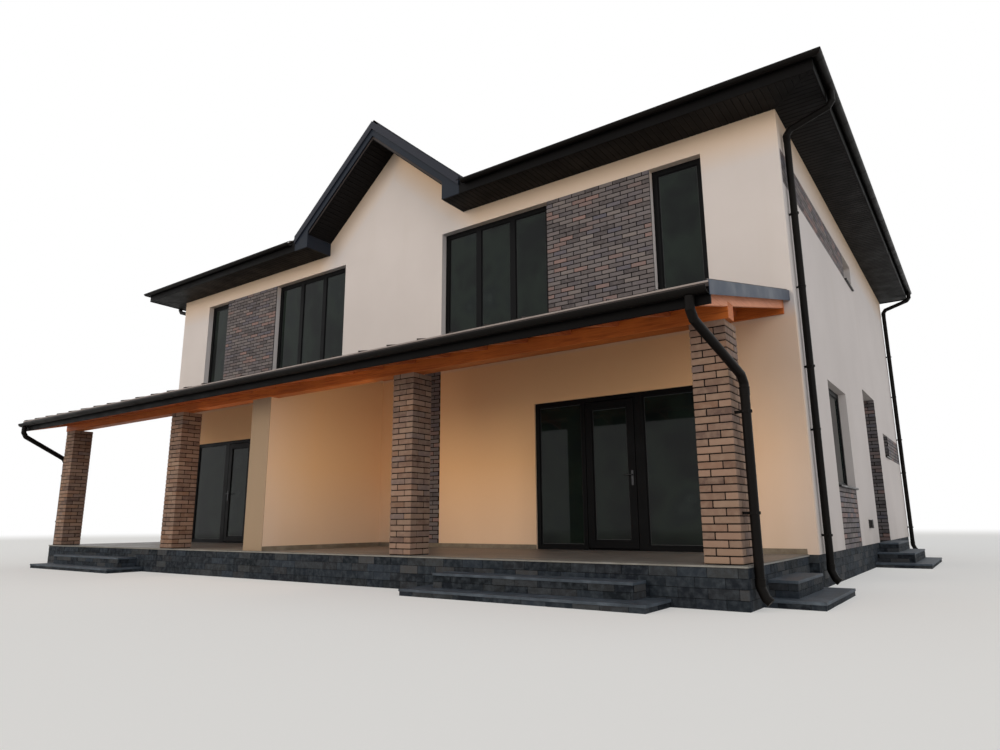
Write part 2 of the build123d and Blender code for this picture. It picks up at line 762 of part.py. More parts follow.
# Steps: (left, right, front, back) of each flight's blocks, lowest first. Each tread slab
# covers what the next block leaves free and oversails its own block's open sides.
front_step_start = screen[0] + front_step_from_screen
front_step_end = front_step_start + front_step_width
side_step_near = porch_edge - side_step_from_edge
side_step_far = side_step_near - side_step_width
front_steps = [
    (front_step_start - front_step_wrap, front_step_end + front_step_wrap,
     -porch_edge - 2 * tread, -porch_edge),
    (front_step_start, front_step_end, -porch_edge - tread, -porch_edge),
]
side_steps = [
    (porch_half, porch_half + 2 * side_step_tread, -side_step_near - side_step_wrap,
     -side_step_far + side_step_wrap),
    (porch_half, porch_half + side_step_tread, -side_step_near, -side_step_far),
]
plinth_face = half - plinth_inset
landing_near = doorway[0] - door_step_margin
landing_far = doorway[1] + door_step_margin
door_steps = [
    (plinth_face, half + door_step_landing + i * door_step_tread,
     landing_near - i * door_step_near_wrap, landing_far + i * door_step_far_wrap)
    for i in (2, 1, 0)]
with BuildPart() as step_blocks:
    for flight in (front_steps, side_steps, door_steps):
        base = 0
        for i, block in enumerate(flight):
            block_top = first_riser + i * riser - tread_slab
            with BuildSketch(Plane.XY.offset(base)):
                rectangle(*block)
            extrude(amount=block_top - base)
            base = block_top
    mirror(about=Plane.YZ)
step_blocks.part.label = "step_blocks"
export_step(step_blocks.part, "parts/step_blocks.step")

with BuildPart() as step_treads:
    for flight in (front_steps, side_steps, door_steps):
        for i, (left, right, front, back) in enumerate(flight):
            with BuildSketch(Plane.XY.offset(first_riser + i * riser - tread_slab)):
                if flight is front_steps:
                    rectangle(left - tread_nose, right + tread_nose, front - tread_nose, back)
                else:
                    rectangle(left, right + tread_nose, front - tread_nose, back + tread_nose)
                if i + 1 < len(flight):
                    rectangle(*flight[i + 1], mode=Mode.SUBTRACT)
            extrude(amount=tread_slab)
    mirror(about=Plane.YZ)
step_treads.part.label = "step_treads"
export_step(step_treads.part, "parts/step_treads.step")

# Porch posts, beam and roof timbers
with BuildPart() as porch_piers:
    with BuildSketch(Plane.XY.offset(floor_level)):
        for start in (inner_pier_start, outer_pier_start):
            rectangle(start, start + pier, -pier_front, pier - pier_front)
        mirror(about=Plane.YZ)
    extrude(amount=pier_height)
porch_piers.part.label = "porch_piers"
export_step(porch_piers.part, "parts/porch_piers.step")

with BuildPart() as porch_beam:
    with BuildSketch(Plane.XY.offset(beam_bottom)):
        rectangle(-porch_half, porch_half, -pier_front, -beam_rear)
    extrude(amount=beam_depth)
porch_beam.part.label = "porch_beam"
export_step(porch_beam.part, "parts/porch_beam.step")

with BuildPart() as party_wall_end:
    with BuildSketch(Plane.YZ.offset(party_wall_from_axis - party_wall / 2)):
        with BuildLine():
            Polyline((0, floor_level), (-party_wall_front, floor_level),
                     (-party_wall_front, beam_bottom), (-beam_rear, beam_bottom),
                     (-beam_rear, rafter_bottom(beam_rear)),
                     (-ledger_width, rafter_bottom(ledger_width)),
                     (-ledger_width, ledger_bottom), (0, ledger_bottom), close=True)
        make_face()
    extrude(amount=party_wall)
party_wall_end.part.label = "party_wall_end"
export_step(party_wall_end.part, "parts/party_wall_end.step")

with BuildPart() as porch_ledger:
    with BuildSketch(Plane.YZ):
        with BuildLine():
            Polyline((0, ledger_bottom), (-ledger_width, ledger_bottom),
                     (-ledger_width, rafter_bottom(ledger_width) + rafter_rise),
                     (0, rafter_bottom(0) + rafter_rise), close=True)
        make_face()
    extrude(amount=porch_half, both=True)
porch_ledger.part.label = "porch_ledger"
export_step(porch_ledger.part, "parts/porch_ledger.step")

rafter_span = 2 * porch_half - rafter_width
rafter_count = 2 * round(rafter_span / rafter_spacing / 2) + 1
with BuildPart() as porch_rafters:
    for i in range(rafter_count):
        with BuildSketch(Plane.YZ.offset(i * rafter_span / (rafter_count - 1) - porch_half)):
            Polygon((-ledger_width, rafter_bottom(ledger_width)),
                    (-ledger_width, rafter_bottom(ledger_width) + rafter_rise),
                    (-rafter_reach, rafter_bottom(rafter_reach) + rafter_rise),
                    (-rafter_reach, rafter_bottom(rafter_reach)), align=None)
        extrude(amount=rafter_width)
    add(porch_beam.part, mode=Mode.SUBTRACT)
porch_rafters.part.label = "porch_rafters"
export_step(porch_rafters.part, "parts/porch_rafters.step")

# Porch roof covering: boards, then sheeting, with angle flashings at both verges
board_bottom = rafter_bottom(0) + rafter_rise
roofing_front = rafter_reach + fascia_board + porch_drip


def sloping_strip(front, start, depth):
    """A strip parallel to the rafters' top in the open sketch; start is measured above it."""
    level = board_bottom + start
    fall = porch_slope * front
    Polygon((0, level), (0, level + depth), (-front, level + depth - fall),
            (-front, level - fall), align=None)


with BuildPart() as porch_boards:
    with BuildSketch(Plane.YZ):
        sloping_strip(rafter_reach, 0, porch_board)
    extrude(amount=porch_roof_half, both=True)
porch_boards.part.label = "porch_boards"
export_step(porch_boards.part, "parts/porch_boards.step")

with BuildPart() as porch_roofing_sheet:
    with BuildSketch(Plane.YZ):
        sloping_strip(roofing_front, porch_board, porch_roofing)
    extrude(amount=porch_roof_half, both=True)
porch_roofing_sheet.part.label = "porch_roofing"
export_step(porch_roofing_sheet.part, "parts/porch_roofing.step")

with BuildPart() as verge_flashings:
    with BuildSketch(Plane.YZ.offset(porch_roof_half)):
        sloping_strip(roofing_front, porch_cover + flashing - flashing_depth, flashing_depth)
    extrude(amount=flashing)
    with BuildSketch(Plane.YZ.offset(porch_roof_half - flashing_cover)):
        sloping_strip(roofing_front, porch_cover, flashing)
    extrude(amount=flashing_cover)
    mirror(about=Plane.YZ)
verge_flashings.part.label = "verge_flashings"
export_step(verge_flashings.part, "parts/verge_flashings.step")

porch_edge_level = board_bottom + porch_board - porch_slope * rafter_reach
with BuildPart() as porch_fascia:
    with BuildSketch(Plane.YZ):
        rectangle(-rafter_reach - fascia_board, -rafter_reach,
                  rafter_bottom(rafter_reach),
                  porch_edge_level - porch_slope * fascia_board)
    extrude(amount=porch_roof_half, both=True)
porch_fascia.part.label = "porch_fascia"
export_step(porch_fascia.part, "parts/porch_fascia.step")

# Skirting tiles along the porch wall
with BuildPart() as porch_skirting:
    with BuildSketch(Plane.XY.offset(floor_level)):
        party_left = party_wall_from_axis - party_wall / 2
        party_right = party_wall_from_axis + party_wall / 2
        rectangle(-porch_half, -screen[1], -skirting_thickness, 0)
        rectangle(-screen[0], party_left, -skirting_thickness, 0)
        rectangle(party_right, screen[0], -skirting_thickness, 0)
        rectangle(screen[1], porch_half, -skirting_thickness, 0)
    extrude(amount=skirting_height)
porch_skirting.part.label = "porch_skirting"
export_step(porch_skirting.part, "parts/porch_skirting.step")

# Gutters: half-round channels, mitred where they turn the corners
gutter_line = fascia_board + gutter_radius
rim_level = eaves_level - gutter_drop
gutter_front = -eaves_overhang - gutter_line
gutter_side = eaves_half + gutter_line
gutter_rear = eaves_rear + gutter_line


def gutter_section(across, level):
    """The channel's section in the open sketch, rim at the given level."""
    with Locations((across, level)):
        Circle(gutter_radius)
        Circle(gutter_radius - gutter_wall, mode=Mode.SUBTRACT)
        Rectangle(3 * gutter_radius, 2 * gutter_radius, align=(Align.CENTER, Align.MIN),
                  mode=Mode.SUBTRACT)


front_mitre = Plane(origin=(gutter_side, gutter_front, 0), z_dir=(1, 1, 0))
rear_mitre = Plane(origin=(gutter_side, gutter_rear, 0), z_dir=(-1, 1, 0))
gutter_start = gable_spread + gutter_end_gap
with BuildPart() as front_run:
    with BuildSketch(Plane.YZ.offset(gutter_start)):
        gutter_section(gutter_front, rim_level)
    extrude(amount=gutter_side + gutter_radius - gutter_start)
    split(bisect_by=front_mitre, keep=Keep.BOTTOM)

with BuildPart() as front_rear_gutters:
    with BuildSketch(Plane.YZ):
        gutter_section(gutter_rear, rim_level)
    extrude(amount=gutter_side + gutter_radius)
    split(bisect_by=rear_mitre, keep=Keep.TOP)
    add(front_run.part)
    mirror(about=Plane.YZ)
front_rear_gutters.part.label = "front_rear_gutters"
export_step(front_rear_gutters.part, "parts/front_rear_gutters.step")

with BuildPart() as side_gutters:
    with BuildSketch(Plane.XZ.offset(gutter_radius - gutter_front)):
        gutter_section(gutter_side, rim_level)
    extrude(amount=gutter_front - gutter_rear - 2 * gutter_radius)
    split(bisect_by=front_mitre, keep=Keep.TOP)
    split(bisect_by=rear_mitre, keep=Keep.BOTTOM)
    mirror(about=Plane.YZ)
side_gutters.part.label = "side_gutters"
export_step(side_gutters.part, "parts/side_gutters.step")

porch_gutter_y = -rafter_reach - gutter_line
porch_rim_level = porch_edge_level - porch_slope * fascia_board - gutter_drop / 2
with BuildPart() as porch_gutter:
    with BuildSketch(Plane.YZ):
        gutter_section(porch_gutter_y, porch_rim_level)
    extrude(amount=porch_roof_half, both=True)
porch_gutter.part.label = "porch_gutter"
export_step(porch_gutter.part, "parts/porch_gutter.step")

# Downpipes: round pipe led from the gutters back to the walls in made elbows, each with a
# mitred middle length, and kicked out at the foot


def elbowed(*corners):
    """The pipe's route with an elbow's middle length across each corner."""
    points = [Vector(*corner) for corner in corners]
    route = [points[0]]
    for before, corner, after in zip(points, points[1:], points[2:]):
        route += [corner + (before - corner).normalized() * pipe_elbow,
                  corner + (after - corner).normalized() * pipe_elbow]
    return route + [points[-1]]


pipe_x = half + pipe_standoff + pipe_radius
outlet_level = rim_level - gutter_radius - pipe_play
porch_pipe_x = porch_half + porch_tile_lip + pipe_radius + porch_pipe_gap
porch_pipe_y = porch_pipe_from_edge - porch_edge
porch_outlet_x = porch_roof_half - porch_outlet_from_end
porch_outlet_level = porch_rim_level - gutter_radius - pipe_play
pipe_routes = [
    elbowed((gutter_side, y, outlet_level),
            (gutter_side, y, soffit_level - 1.5 * pipe_radius),
            (pipe_x, y, soffit_level - pipe_offset_drop), (pipe_x, y, pipe_foot_top),
            (pipe_x + pipe_foot_reach, y, pipe_foot_end))
    for y in (front_pipe_from_front, house_depth - rear_pipe_from_rear)]
pipe_routes.append(
    elbowed((porch_outlet_x, porch_gutter_y, porch_outlet_level),
            (porch_outlet_x, porch_gutter_y, porch_outlet_level - 4 * pipe_radius),
            (porch_pipe_x, porch_pipe_y, porch_outlet_level - 4 * pipe_radius
             - porch_pipe_drop),
            (porch_pipe_x, porch_pipe_y, pipe_foot_top),
            (porch_pipe_x + pipe_foot_reach, porch_pipe_y, pipe_foot_end)))
with BuildPart() as downpipes:
    for points in pipe_routes:
        with BuildLine():
            route = Polyline(*points)
        with BuildSketch(Plane(origin=route @ 0, z_dir=route % 0)):
            Circle(pipe_radius)
        sweep(path=route, transition=Transition.RIGHT)
    mirror(about=Plane.YZ)
downpipes.part.label = "downpipes"
export_step(downpipes.part, "parts/downpipes.step")

# Pipe clips: a folded collar round the pipe and a stem to the wall or post
clips = [(half, pipe_x, y, clip_first + i * clip_spacing) for i in range(clip_count)
         for y in (front_pipe_from_front, house_depth - rear_pipe_from_rear)]
clips += [(porch_half - pier_inset, porch_pipe_x, porch_pipe_y,
           porch_clip_first + i * porch_clip_spacing) for i in range(2)]
with BuildPart() as pipe_clips:
    for face, x, y, level in clips:
        with BuildSketch(Plane.XY.offset(level)):
            with Locations((x, y)):
                RegularPolygon(pipe_radius + clip_thickness, 6, major_radius=False)
            rectangle(face, x, y - clip_thickness, y + clip_thickness)
            with Locations((x, y)):
                RegularPolygon(pipe_radius, 6, major_radius=False, mode=Mode.SUBTRACT)
        extrude(amount=clip_height)
    mirror(about=Plane.YZ)
pipe_clips.part.label = "pipe_clips"
export_step(pipe_clips.part, "parts/pipe_clips.step")
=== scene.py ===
# %% [markdown]
# # A pair of homes under one hipped roof
# This lesson dresses a finished model of a two-storey double house. The model, called the frame,
# comes from CAD: its walls, roof, windows and steps are already in their places, in metres. What
# is added here is what a camera sees first: bricks, slabs, boards, tiles, glass and light.

# %% Load the frame
import math
import bmesh
import bpy
from mathutils import Matrix, Vector


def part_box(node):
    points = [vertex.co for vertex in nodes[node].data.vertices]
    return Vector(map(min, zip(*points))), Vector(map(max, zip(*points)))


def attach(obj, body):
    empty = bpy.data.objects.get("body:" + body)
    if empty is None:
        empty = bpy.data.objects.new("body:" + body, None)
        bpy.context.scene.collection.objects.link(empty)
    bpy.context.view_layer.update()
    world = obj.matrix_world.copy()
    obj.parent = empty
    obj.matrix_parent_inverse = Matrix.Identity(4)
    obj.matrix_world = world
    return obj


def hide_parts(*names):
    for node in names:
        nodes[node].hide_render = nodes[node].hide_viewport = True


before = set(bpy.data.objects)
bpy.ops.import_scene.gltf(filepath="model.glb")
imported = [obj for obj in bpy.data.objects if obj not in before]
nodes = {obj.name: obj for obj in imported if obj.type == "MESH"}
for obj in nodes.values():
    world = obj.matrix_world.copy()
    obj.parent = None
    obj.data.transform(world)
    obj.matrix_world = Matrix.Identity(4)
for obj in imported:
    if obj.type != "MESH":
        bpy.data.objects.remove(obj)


def put(name, data):
    """A new object in the scene."""
    made = bpy.data.objects.new(name, data)
    bpy.context.scene.collection.objects.link(made)
    return made


def opened(mesh, merged=False):
    """A mesh as a bmesh, with its faces joined at their corners if it should be merged."""
    work = bmesh.new()
    work.from_mesh(mesh)
    if merged:
        bmesh.ops.remove_doubles(work, verts=work.verts, dist=1e-5)
    return work


def settle(work, mesh):
    """Writes a bmesh back to a mesh, or to a new one with this name."""
    if isinstance(mesh, str):
        mesh = bpy.data.meshes.new(mesh)
    work.to_mesh(mesh)
    work.free()
    return mesh


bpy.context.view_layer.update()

# %% [markdown]
# ## The camera
# The picture was taken from low down near the right front corner, with the camera tipped up, so
# the eaves loom over the porch. A camera like that is described by where it stands, how far it
# is turned and tipped, and how wide it sees. Turning those angles into three axes by hand, and
# giving the camera that matrix, keeps every angle in one place and easy to check.

# %% Camera
turn, tip, lean = 0.6140, 0.2112, -0.0064
level_right = Vector((math.cos(turn), math.sin(turn), 0))
ahead = Vector((-math.sin(turn) * math.cos(tip), math.cos(turn) * math.cos(tip), math.sin(tip)))
level_up = level_right.cross(ahead)
camera_right = math.cos(lean) * level_right + math.sin(lean) * level_up
camera_up = -math.sin(lean) * level_right + math.cos(lean) * level_up
camera_data = bpy.data.cameras.new("corner_view")
camera_data.lens, camera_data.sensor_width, camera_data.clip_end = 24.687, 36, 400
camera = put("corner_view", camera_data)
camera.matrix_world = Matrix.Translation((9.3781, -9.4900, 0.8440)) @ Matrix(
    (camera_right, camera_up, -ahead)).transposed().to_4x4()
bpy.context.scene.camera = camera
print("camera stands at", [round(c, 2) for c in camera.location], "lens", camera_data.lens)

# %% [markdown]
# ## Small helpers for node trees
# Materials and Geometry Nodes are both trees of nodes, and both can be written as a short list
# of calls. One helper adds a node, sets its options and fills its inputs, each with a number or
# with the result of another node. A result can be used in sums, such as a * b + 1: each sign adds
# the Math node that works it out, so the code below reads as the rule that it stands for.

# %% Node helpers
class Result:
    """What a node gives. Sums with it add Math nodes to its tree."""

    def __init__(self, tree, socket):
        self.tree, self.socket = tree, socket

    def of(self, output):
        """Another output of the same node, by its name or its place."""
        return Result(self.tree, self.socket.node.outputs[output])

    def calc(self, operation, other=0.0, third=0.0):
        """A Math node that starts from this value."""
        return add_node(self.tree, "ShaderNodeMath", {"operation": operation},
                        in0=self, in1=other, in2=third)

    def remap(self, low, high, to_low=0.0, to_high=1.0):
        """This value moved from one range to another, and held there."""
        return add_node(self.tree, "ShaderNodeMapRange", Value=self, From_Min=low, From_Max=high,
                        To_Min=to_low, To_Max=to_high)

    def __add__(self, other):
        return self.calc("ADD", other)

    def __sub__(self, other):
        return self.calc("SUBTRACT", other)

    def __rsub__(self, other):
        return add_node(self.tree, "ShaderNodeMath", {"operation": "SUBTRACT"},
                        in0=other, in1=self, in2=0.0)

    def __mul__(self, other):
        return self.calc("MULTIPLY", other)

    def __truediv__(self, other):
        return self.calc("DIVIDE", other)

    def __mod__(self, other):
        return self.calc("MODULO", other)


def fill(tree, socket, value):
    """Links a socket to a result, or gives it a plain value."""
    if isinstance(value, Result):
        tree.links.new(value.socket, socket)
    else:
        socket.default_value = value


def add_node(tree, kind, options=None, **inputs):
    """Adds a node. Inputs are named with _ for a space, or in0, in1... by their place."""
    made = tree.nodes.new(kind)
    for name, value in (options or {}).items():
        setattr(made, name, value)
    for name, value in inputs.items():
        by_place = name[:2] == "in" and name[2:].isdigit()
        fill(tree, made.inputs[int(name[2:]) if by_place else name.replace("_", " ")], value)
    return Result(tree, made.outputs[0]) if made.outputs else None


def screen_colour(red, green, blue):
    """A colour picked on a screen, 0 to 255, as the linear colour that Blender works in."""
    parts = []
    for value in (red, green, blue):
        share = value / 255
        parts.append(share / 12.92 if share <= 0.04045 else ((share + 0.055) / 1.055) ** 2.4)
    return (*parts, 1.0)


print("helpers ready, mid grey is", [round(c, 3) for c in screen_colour(128, 128, 128)])

# %% [markdown]
# ## The studio
# The house stands on a pale floor in soft light. A wide, low and warm key lamp from the front
# left reaches under the porch as an evening sun does, a fainter one from the front right lifts
# the side wall, and an even sky fills the rest. A small warm panel on each side of the party wall
# stands for the light that the porch holds. The floor fades to white far out, so it meets the
# white background without a line. Light Path tells what sort of ray asks: the camera, a mirror
# or a pane of glass sees white, while the walls get a weaker, even light. No lamp shows in
# gloss, or the wide discs would wash out the dark panes.

# %% Light and sky
white_light = (1, 1, 1, 1)
world = bpy.data.worlds.new("studio_sky")
bpy.context.scene.world = world
world.use_nodes = True
sky = world.node_tree
sky.nodes.clear()
ray = add_node(sky, "ShaderNodeLightPath")
sees_white = ray.of("Is Camera Ray").calc(
    "MAXIMUM", ray.of("Is Glossy Ray").calc("MAXIMUM", ray.of("Is Transmission Ray")))
plain = add_node(sky, "ShaderNodeBackground", Color=white_light, Strength=1.0)
soft = add_node(sky, "ShaderNodeBackground", Color=(0.95, 0.975, 1, 1), Strength=0.5)
add_node(sky, "ShaderNodeOutputWorld",
         Surface=add_node(sky, "ShaderNodeMixShader", Fac=sees_white, in1=soft, in2=plain))


def add_lamp(name, kind, energy, colour, towards, place=(0, 0, 0), **shape):
    """A lamp that doesn't show in gloss."""
    data = bpy.data.lights.new(name, kind)
    data.energy, data.color = energy, colour
    for key, value in shape.items():
        setattr(data, key, value)
    lamp = put(name, data)
    lamp.matrix_world = Matrix.Translation(place) @ Vector(towards).to_track_quat(
        "-Z", "Y").to_matrix().to_4x4()
    lamp.visible_glossy = False
    print(name, energy, "towards", towards)
    return lamp


add_lamp("warm_key", "SUN", 1.38, (1.0, 0.84, 0.66), (0.42, 1.0, -0.13), angle=math.radians(34))
add_lamp("side_fill", "SUN", 1.2, (1.0, 0.98, 0.96), (-0.80, 0.62, -0.16), angle=math.radians(60))
for name, side in (("right_porch_glow", 1), ("left_porch_glow", -1)):
    panel = add_lamp(name, "AREA", 10.5, (1.0, 0.88, 0.70), (-side, -0.05, -0.02),
                     (side * 2.25, -2.1, 1.9), shape="RECTANGLE", size=2.0, size_y=1.8)
    panel.visible_camera = panel.visible_transmission = False
bpy.context.scene.view_settings.view_transform = "Standard"

# %% Floor
floor_half = 150
floor_grid = bmesh.new()
bmesh.ops.create_grid(floor_grid, x_segments=8, y_segments=8, size=floor_half)
floor_mesh = settle(floor_grid, "studio_floor")
floor_paint = bpy.data.materials.new("floor_paint")
floor_paint.use_nodes = True
tree = floor_paint.node_tree
tree.nodes.clear()
place = add_node(tree, "ShaderNodeTexCoord").of("Object")
distance = add_node(tree, "ShaderNodeVectorMath", {"operation": "LENGTH"}, in0=place).of("Value")
fade = add_node(tree, "ShaderNodeMapRange", {"interpolation_type": "SMOOTHSTEP"},
                Value=distance, From_Min=16.0, From_Max=70.0)
matt = add_node(tree, "ShaderNodeBsdfDiffuse", Color=(0.90, 0.88, 0.84, 1))
white = add_node(tree, "ShaderNodeEmission", Color=white_light, Strength=1.0)
pale = fade.calc("MAXIMUM", add_node(tree, "ShaderNodeLightPath").of("Is Camera Ray") * 0.3)
add_node(tree, "ShaderNodeOutputMaterial",
         Surface=add_node(tree, "ShaderNodeMixShader", Fac=pale, in1=matt, in2=white))
floor_mesh.materials.append(floor_paint)
put("studio_floor", floor_mesh)
print("floor", floor_mesh.name, 2 * floor_half, "m square")

# %% [markdown]
# ## A shared start for the finishes
# Most finishes here have the same bones: a colour that drifts a little over a metre or two, a
# finer mottle, and a bump that catches the light. A small class builds those bones from a handful
# of numbers, and each finish adds what is special to it. All patterns read Object coordinates,
# which are metres on the real house, so 5 mm grains are 5 mm everywhere.

# %% Finish helpers
class Finish:
    """A material in the making. Its base colour is started, then tinted step by step."""

    def __init__(self, name, roughness, gloss=0.5, metallic=0.0):
        self.material = bpy.data.materials.new(name)
        self.material.use_nodes = True
        self.tree = self.material.node_tree
        self.tree.nodes.clear()
        shader = add_node(self.tree, "ShaderNodeBsdfPrincipled", Roughness=roughness,
                          Metallic=metallic, Specular_IOR_Level=gloss)
        add_node(self.tree, "ShaderNodeOutputMaterial", Surface=shader)
        self.inputs = shader.socket.node.inputs
        self.place = add_node(self.tree, "ShaderNodeTexCoord").of("Object")
        self.base = None

    def stretched(self, stretch):
        """The place of each point, with patterns drawn out along an axis."""
        return add_node(self.tree, "ShaderNodeMapping", Vector=self.place, Scale=stretch)

    def cloud(self, scale, detail=3.0, stretch=(1, 1, 1), rough=0.5):
        """Soft noise, 0 to 1."""
        return add_node(self.tree, "ShaderNodeTexNoise", Vector=self.stretched(stretch),
                        Scale=scale, Detail=detail, Roughness=rough)

    def own_tone(self):
        """The number that each brick or tile carries."""
        return add_node(self.tree, "ShaderNodeAttribute", {"attribute_name": "tone"}).of("Fac")

    def ramp(self, value, *stops):
        """Starts the base with a row of screen colours, each (position, colour)."""
        self.base = add_node(self.tree, "ShaderNodeValToRGB", Fac=value)
        band = self.base.socket.node.color_ramp
        while len(band.elements) > 1:
            band.elements.remove(band.elements[-1])
        for number, (position, colour) in enumerate(stops):
            stop = band.elements.new(position) if number else band.elements[0]
            stop.position, stop.color = position, screen_colour(*colour)

    def tint(self, share, colour):
        """Mixes a screen colour into the base by a share."""
        self.base = add_node(self.tree, "ShaderNodeMix", {"data_type": "RGBA"}, in0=share,
                             in6=self.base, in7=screen_colour(*colour)).of(2)

    def close(self, relief=None, depth=0.0, strength=1.0, roughness=None, **inputs):
        """Links the colour, the bump and the rest to the shader, and returns the material."""
        inputs["Base Color"] = self.base
        if roughness is not None:
            inputs["Roughness"] = roughness
        if relief is not None:
            inputs["Normal"] = add_node(self.tree, "ShaderNodeBump", Height=relief,
                                        Distance=depth, Strength=strength)
        for name, value in inputs.items():
            fill(self.tree, self.inputs[name.replace("_", " ")], value)
        return self.material


print("finish helpers ready")

# %% [markdown]
# ### Render
# The walls are coated with a fine-grained cream render. Close up it is all small grains; from
# some way off it drifts a little where it was floated in patches, and the lowest band above the
# plinth is slightly greyer from splashes. Under the eaves and the porch roof a warmer, ochre tone
# is painted in as light, for the warm glow there, and the end of the party wall is painted darker
# as shade. Clouds and soft bands in height give all that.

# %% Wall render
gable_apex, gable_slope, soffit_level = 8.5, math.radians(40.5), 6.61
render = Finish("cream_render", 0.9, gloss=0.2)
streaks = render.cloud(1.6, 3.0, (1.0, 1.0, 0.12))
render.ramp(render.cloud(0.55, 4.0), (0.3, (199, 192, 190)), (0.7, (207, 200, 198)))
render.tint(streaks.remap(0.55, 0.8, 0.0, 0.25), (188, 179, 167))
axes = add_node(render.tree, "ShaderNodeSeparateXYZ", Vector=render.place)
across, depth, height = axes.of("X"), axes.of("Y"), axes.of("Z")
render.tint(height.remap(1.0, 0.42) * streaks.remap(0.35, 0.7, 0.05, 0.35), (166, 160, 150))
from_middle = across.calc("ABSOLUTE")
rake_line = from_middle.calc("MULTIPLY_ADD", -math.tan(gable_slope), gable_apex)
below_eaves = rake_line.calc("MAXIMUM", soffit_level) - height
# Painted light: a warm ochre glow in the band just under the eaves and the gable's rake.
render.tint(below_eaves.remap(0.7, 0.0, 0.0, 0.6), (226, 186, 136))
# Painted light: the warm glow under the porch roof, on the walls below its ceiling, weaker low down,
# towards the party wall's front end and towards the porch's ends.
painted_porch_glow = height.remap(3.7, 3.5) * depth.remap(0.15, 0.0)
for share in (from_middle.remap(6.1, 7.5, 1.0, 0.45), depth.remap(-3.2, -1.6, 0.55, 1.0),
              height.remap(0.4, 1.8, 0.6, 1.0)):
    painted_porch_glow = painted_porch_glow * share
render.tint(painted_porch_glow * 0.85, (244, 192, 132))
party_wall_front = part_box("party_wall_end")[0].y
# Painted shade: the front end face of the party wall is darkened.
render.tint(depth.remap(party_wall_front + 0.012, party_wall_front + 0.004), (154, 133, 110))
grain = render.cloud(240, 3.0)
render.tint(grain.remap(0.35, 0.65, 0.0, 0.10), (172, 162, 148))
wall_render = render.close(grain + render.cloud(9) * 0.6, 0.0016, 0.8)
print("made", wall_render.name)

# %% [markdown]
# ### Brick and stone
# Three kinds of masonry share one recipe: dark clinker slips on the wall panels, pinkish-grey
# bricks on the porch posts, and slate-grey stone round the base. Each brick carries a number of
# its own, called tone, that the node tree of the bricks gives it. A ramp turns that number into
# one of the kiln's colours; fine noise adds sand marks and a rough face.

# %% Masonry
def masonry(name, colours, roughness, speck, face_scale, face_depth, gloss=0.25):
    """A finish for bricks: colours are picked by each brick's own tone."""
    finish = Finish(name, roughness, gloss)
    finish.ramp(finish.own_tone(), *[(i / len(colours), c) for i, c in enumerate(colours)])
    finish.tint(finish.cloud(14, 4.0).remap(0.42, 0.72, 0.0, 0.55), speck)
    dots = finish.cloud(160, 2.0)
    finish.tint(dots.remap(0.55, 0.75, 0.0, 0.5), colours[0])
    return finish.close(finish.cloud(face_scale, 4.0) + dots * 0.35, face_depth)


clinker = masonry("clinker_face", (
    (84, 80, 84), (112, 106, 106), (98, 93, 95), (124, 116, 113), (90, 88, 98), (106, 99, 100),
    (138, 112, 106), (94, 89, 90), (118, 111, 110), (80, 75, 76)),
    0.7, (112, 106, 106), 60, 0.0026, 0.2)
post_brick = masonry("post_brick", (
    (138, 109, 92), (114, 91, 79), (150, 126, 108), (98, 80, 73), (128, 105, 91), (112, 98, 94),
    (134, 104, 84), (90, 73, 67), (144, 118, 102)), 0.8, (148, 126, 110), 45, 0.0035)
slate_stone = masonry("slate_stone", (
    (22, 27, 32), (42, 48, 55), (30, 36, 44), (64, 66, 68), (25, 29, 33), (50, 57, 66),
    (34, 38, 42), (28, 32, 39), (74, 74, 75), (30, 34, 40)), 0.7, (74, 80, 86), 16, 0.014, 0.08)
for made in (clinker, post_brick, slate_stone):
    print("made", made.name)

# %% [markdown]
# ### Mortar
# The joints are nearly black on the clinker and the posts, and dark grey on the stone. Mortar is
# sandy, so it gets a fine, deep bump and no gloss.

# %% Mortar
def mortar(name, colour, other):
    """Sandy mortar between two screen colours."""
    finish = Finish(name, 0.95, gloss=0.1)
    finish.ramp(finish.cloud(30, 4.0), (0.35, colour), (0.68, other))
    return finish.close(finish.cloud(320, 2.0), 0.002)


dark_mortar = mortar("dark_mortar", (13, 12, 12), (24, 21, 21))
grey_mortar = mortar("grey_mortar", (12, 13, 15), (24, 26, 29))
print("made", dark_mortar.name, grey_mortar.name)

# %% [markdown]
# ### Painted metal and plastic
# Gutters, pipes, fascias, frames and flashings are coated sheet or foil-covered plastic. Their
# colours are close to black, so the shape is told by the gloss: a satin surface, slightly uneven
# as pressed sheet is, with dust that dulls it in soft patches.

# %% Coated sheet
def coated(name, colour, dust, roughness, gloss=0.22, metallic=0.0, ripple=0.0006):
    """Coated sheet or foil: a satin colour with patches of thin dust."""
    finish = Finish(name, roughness, gloss, metallic)
    patch, fine = finish.cloud(3.2, 4.0), finish.cloud(90, 2.0)
    finish.base = screen_colour(*colour)
    finish.tint(patch.remap(0.45, 0.8, 0.0, 0.4), dust)
    finish.tint(fine.remap(0.6, 0.8, 0.0, 0.2), dust)
    return finish.close(patch + fine * 0.15, ripple,
                        roughness=patch.remap(0.3, 0.75, roughness - 0.06, roughness + 0.14))


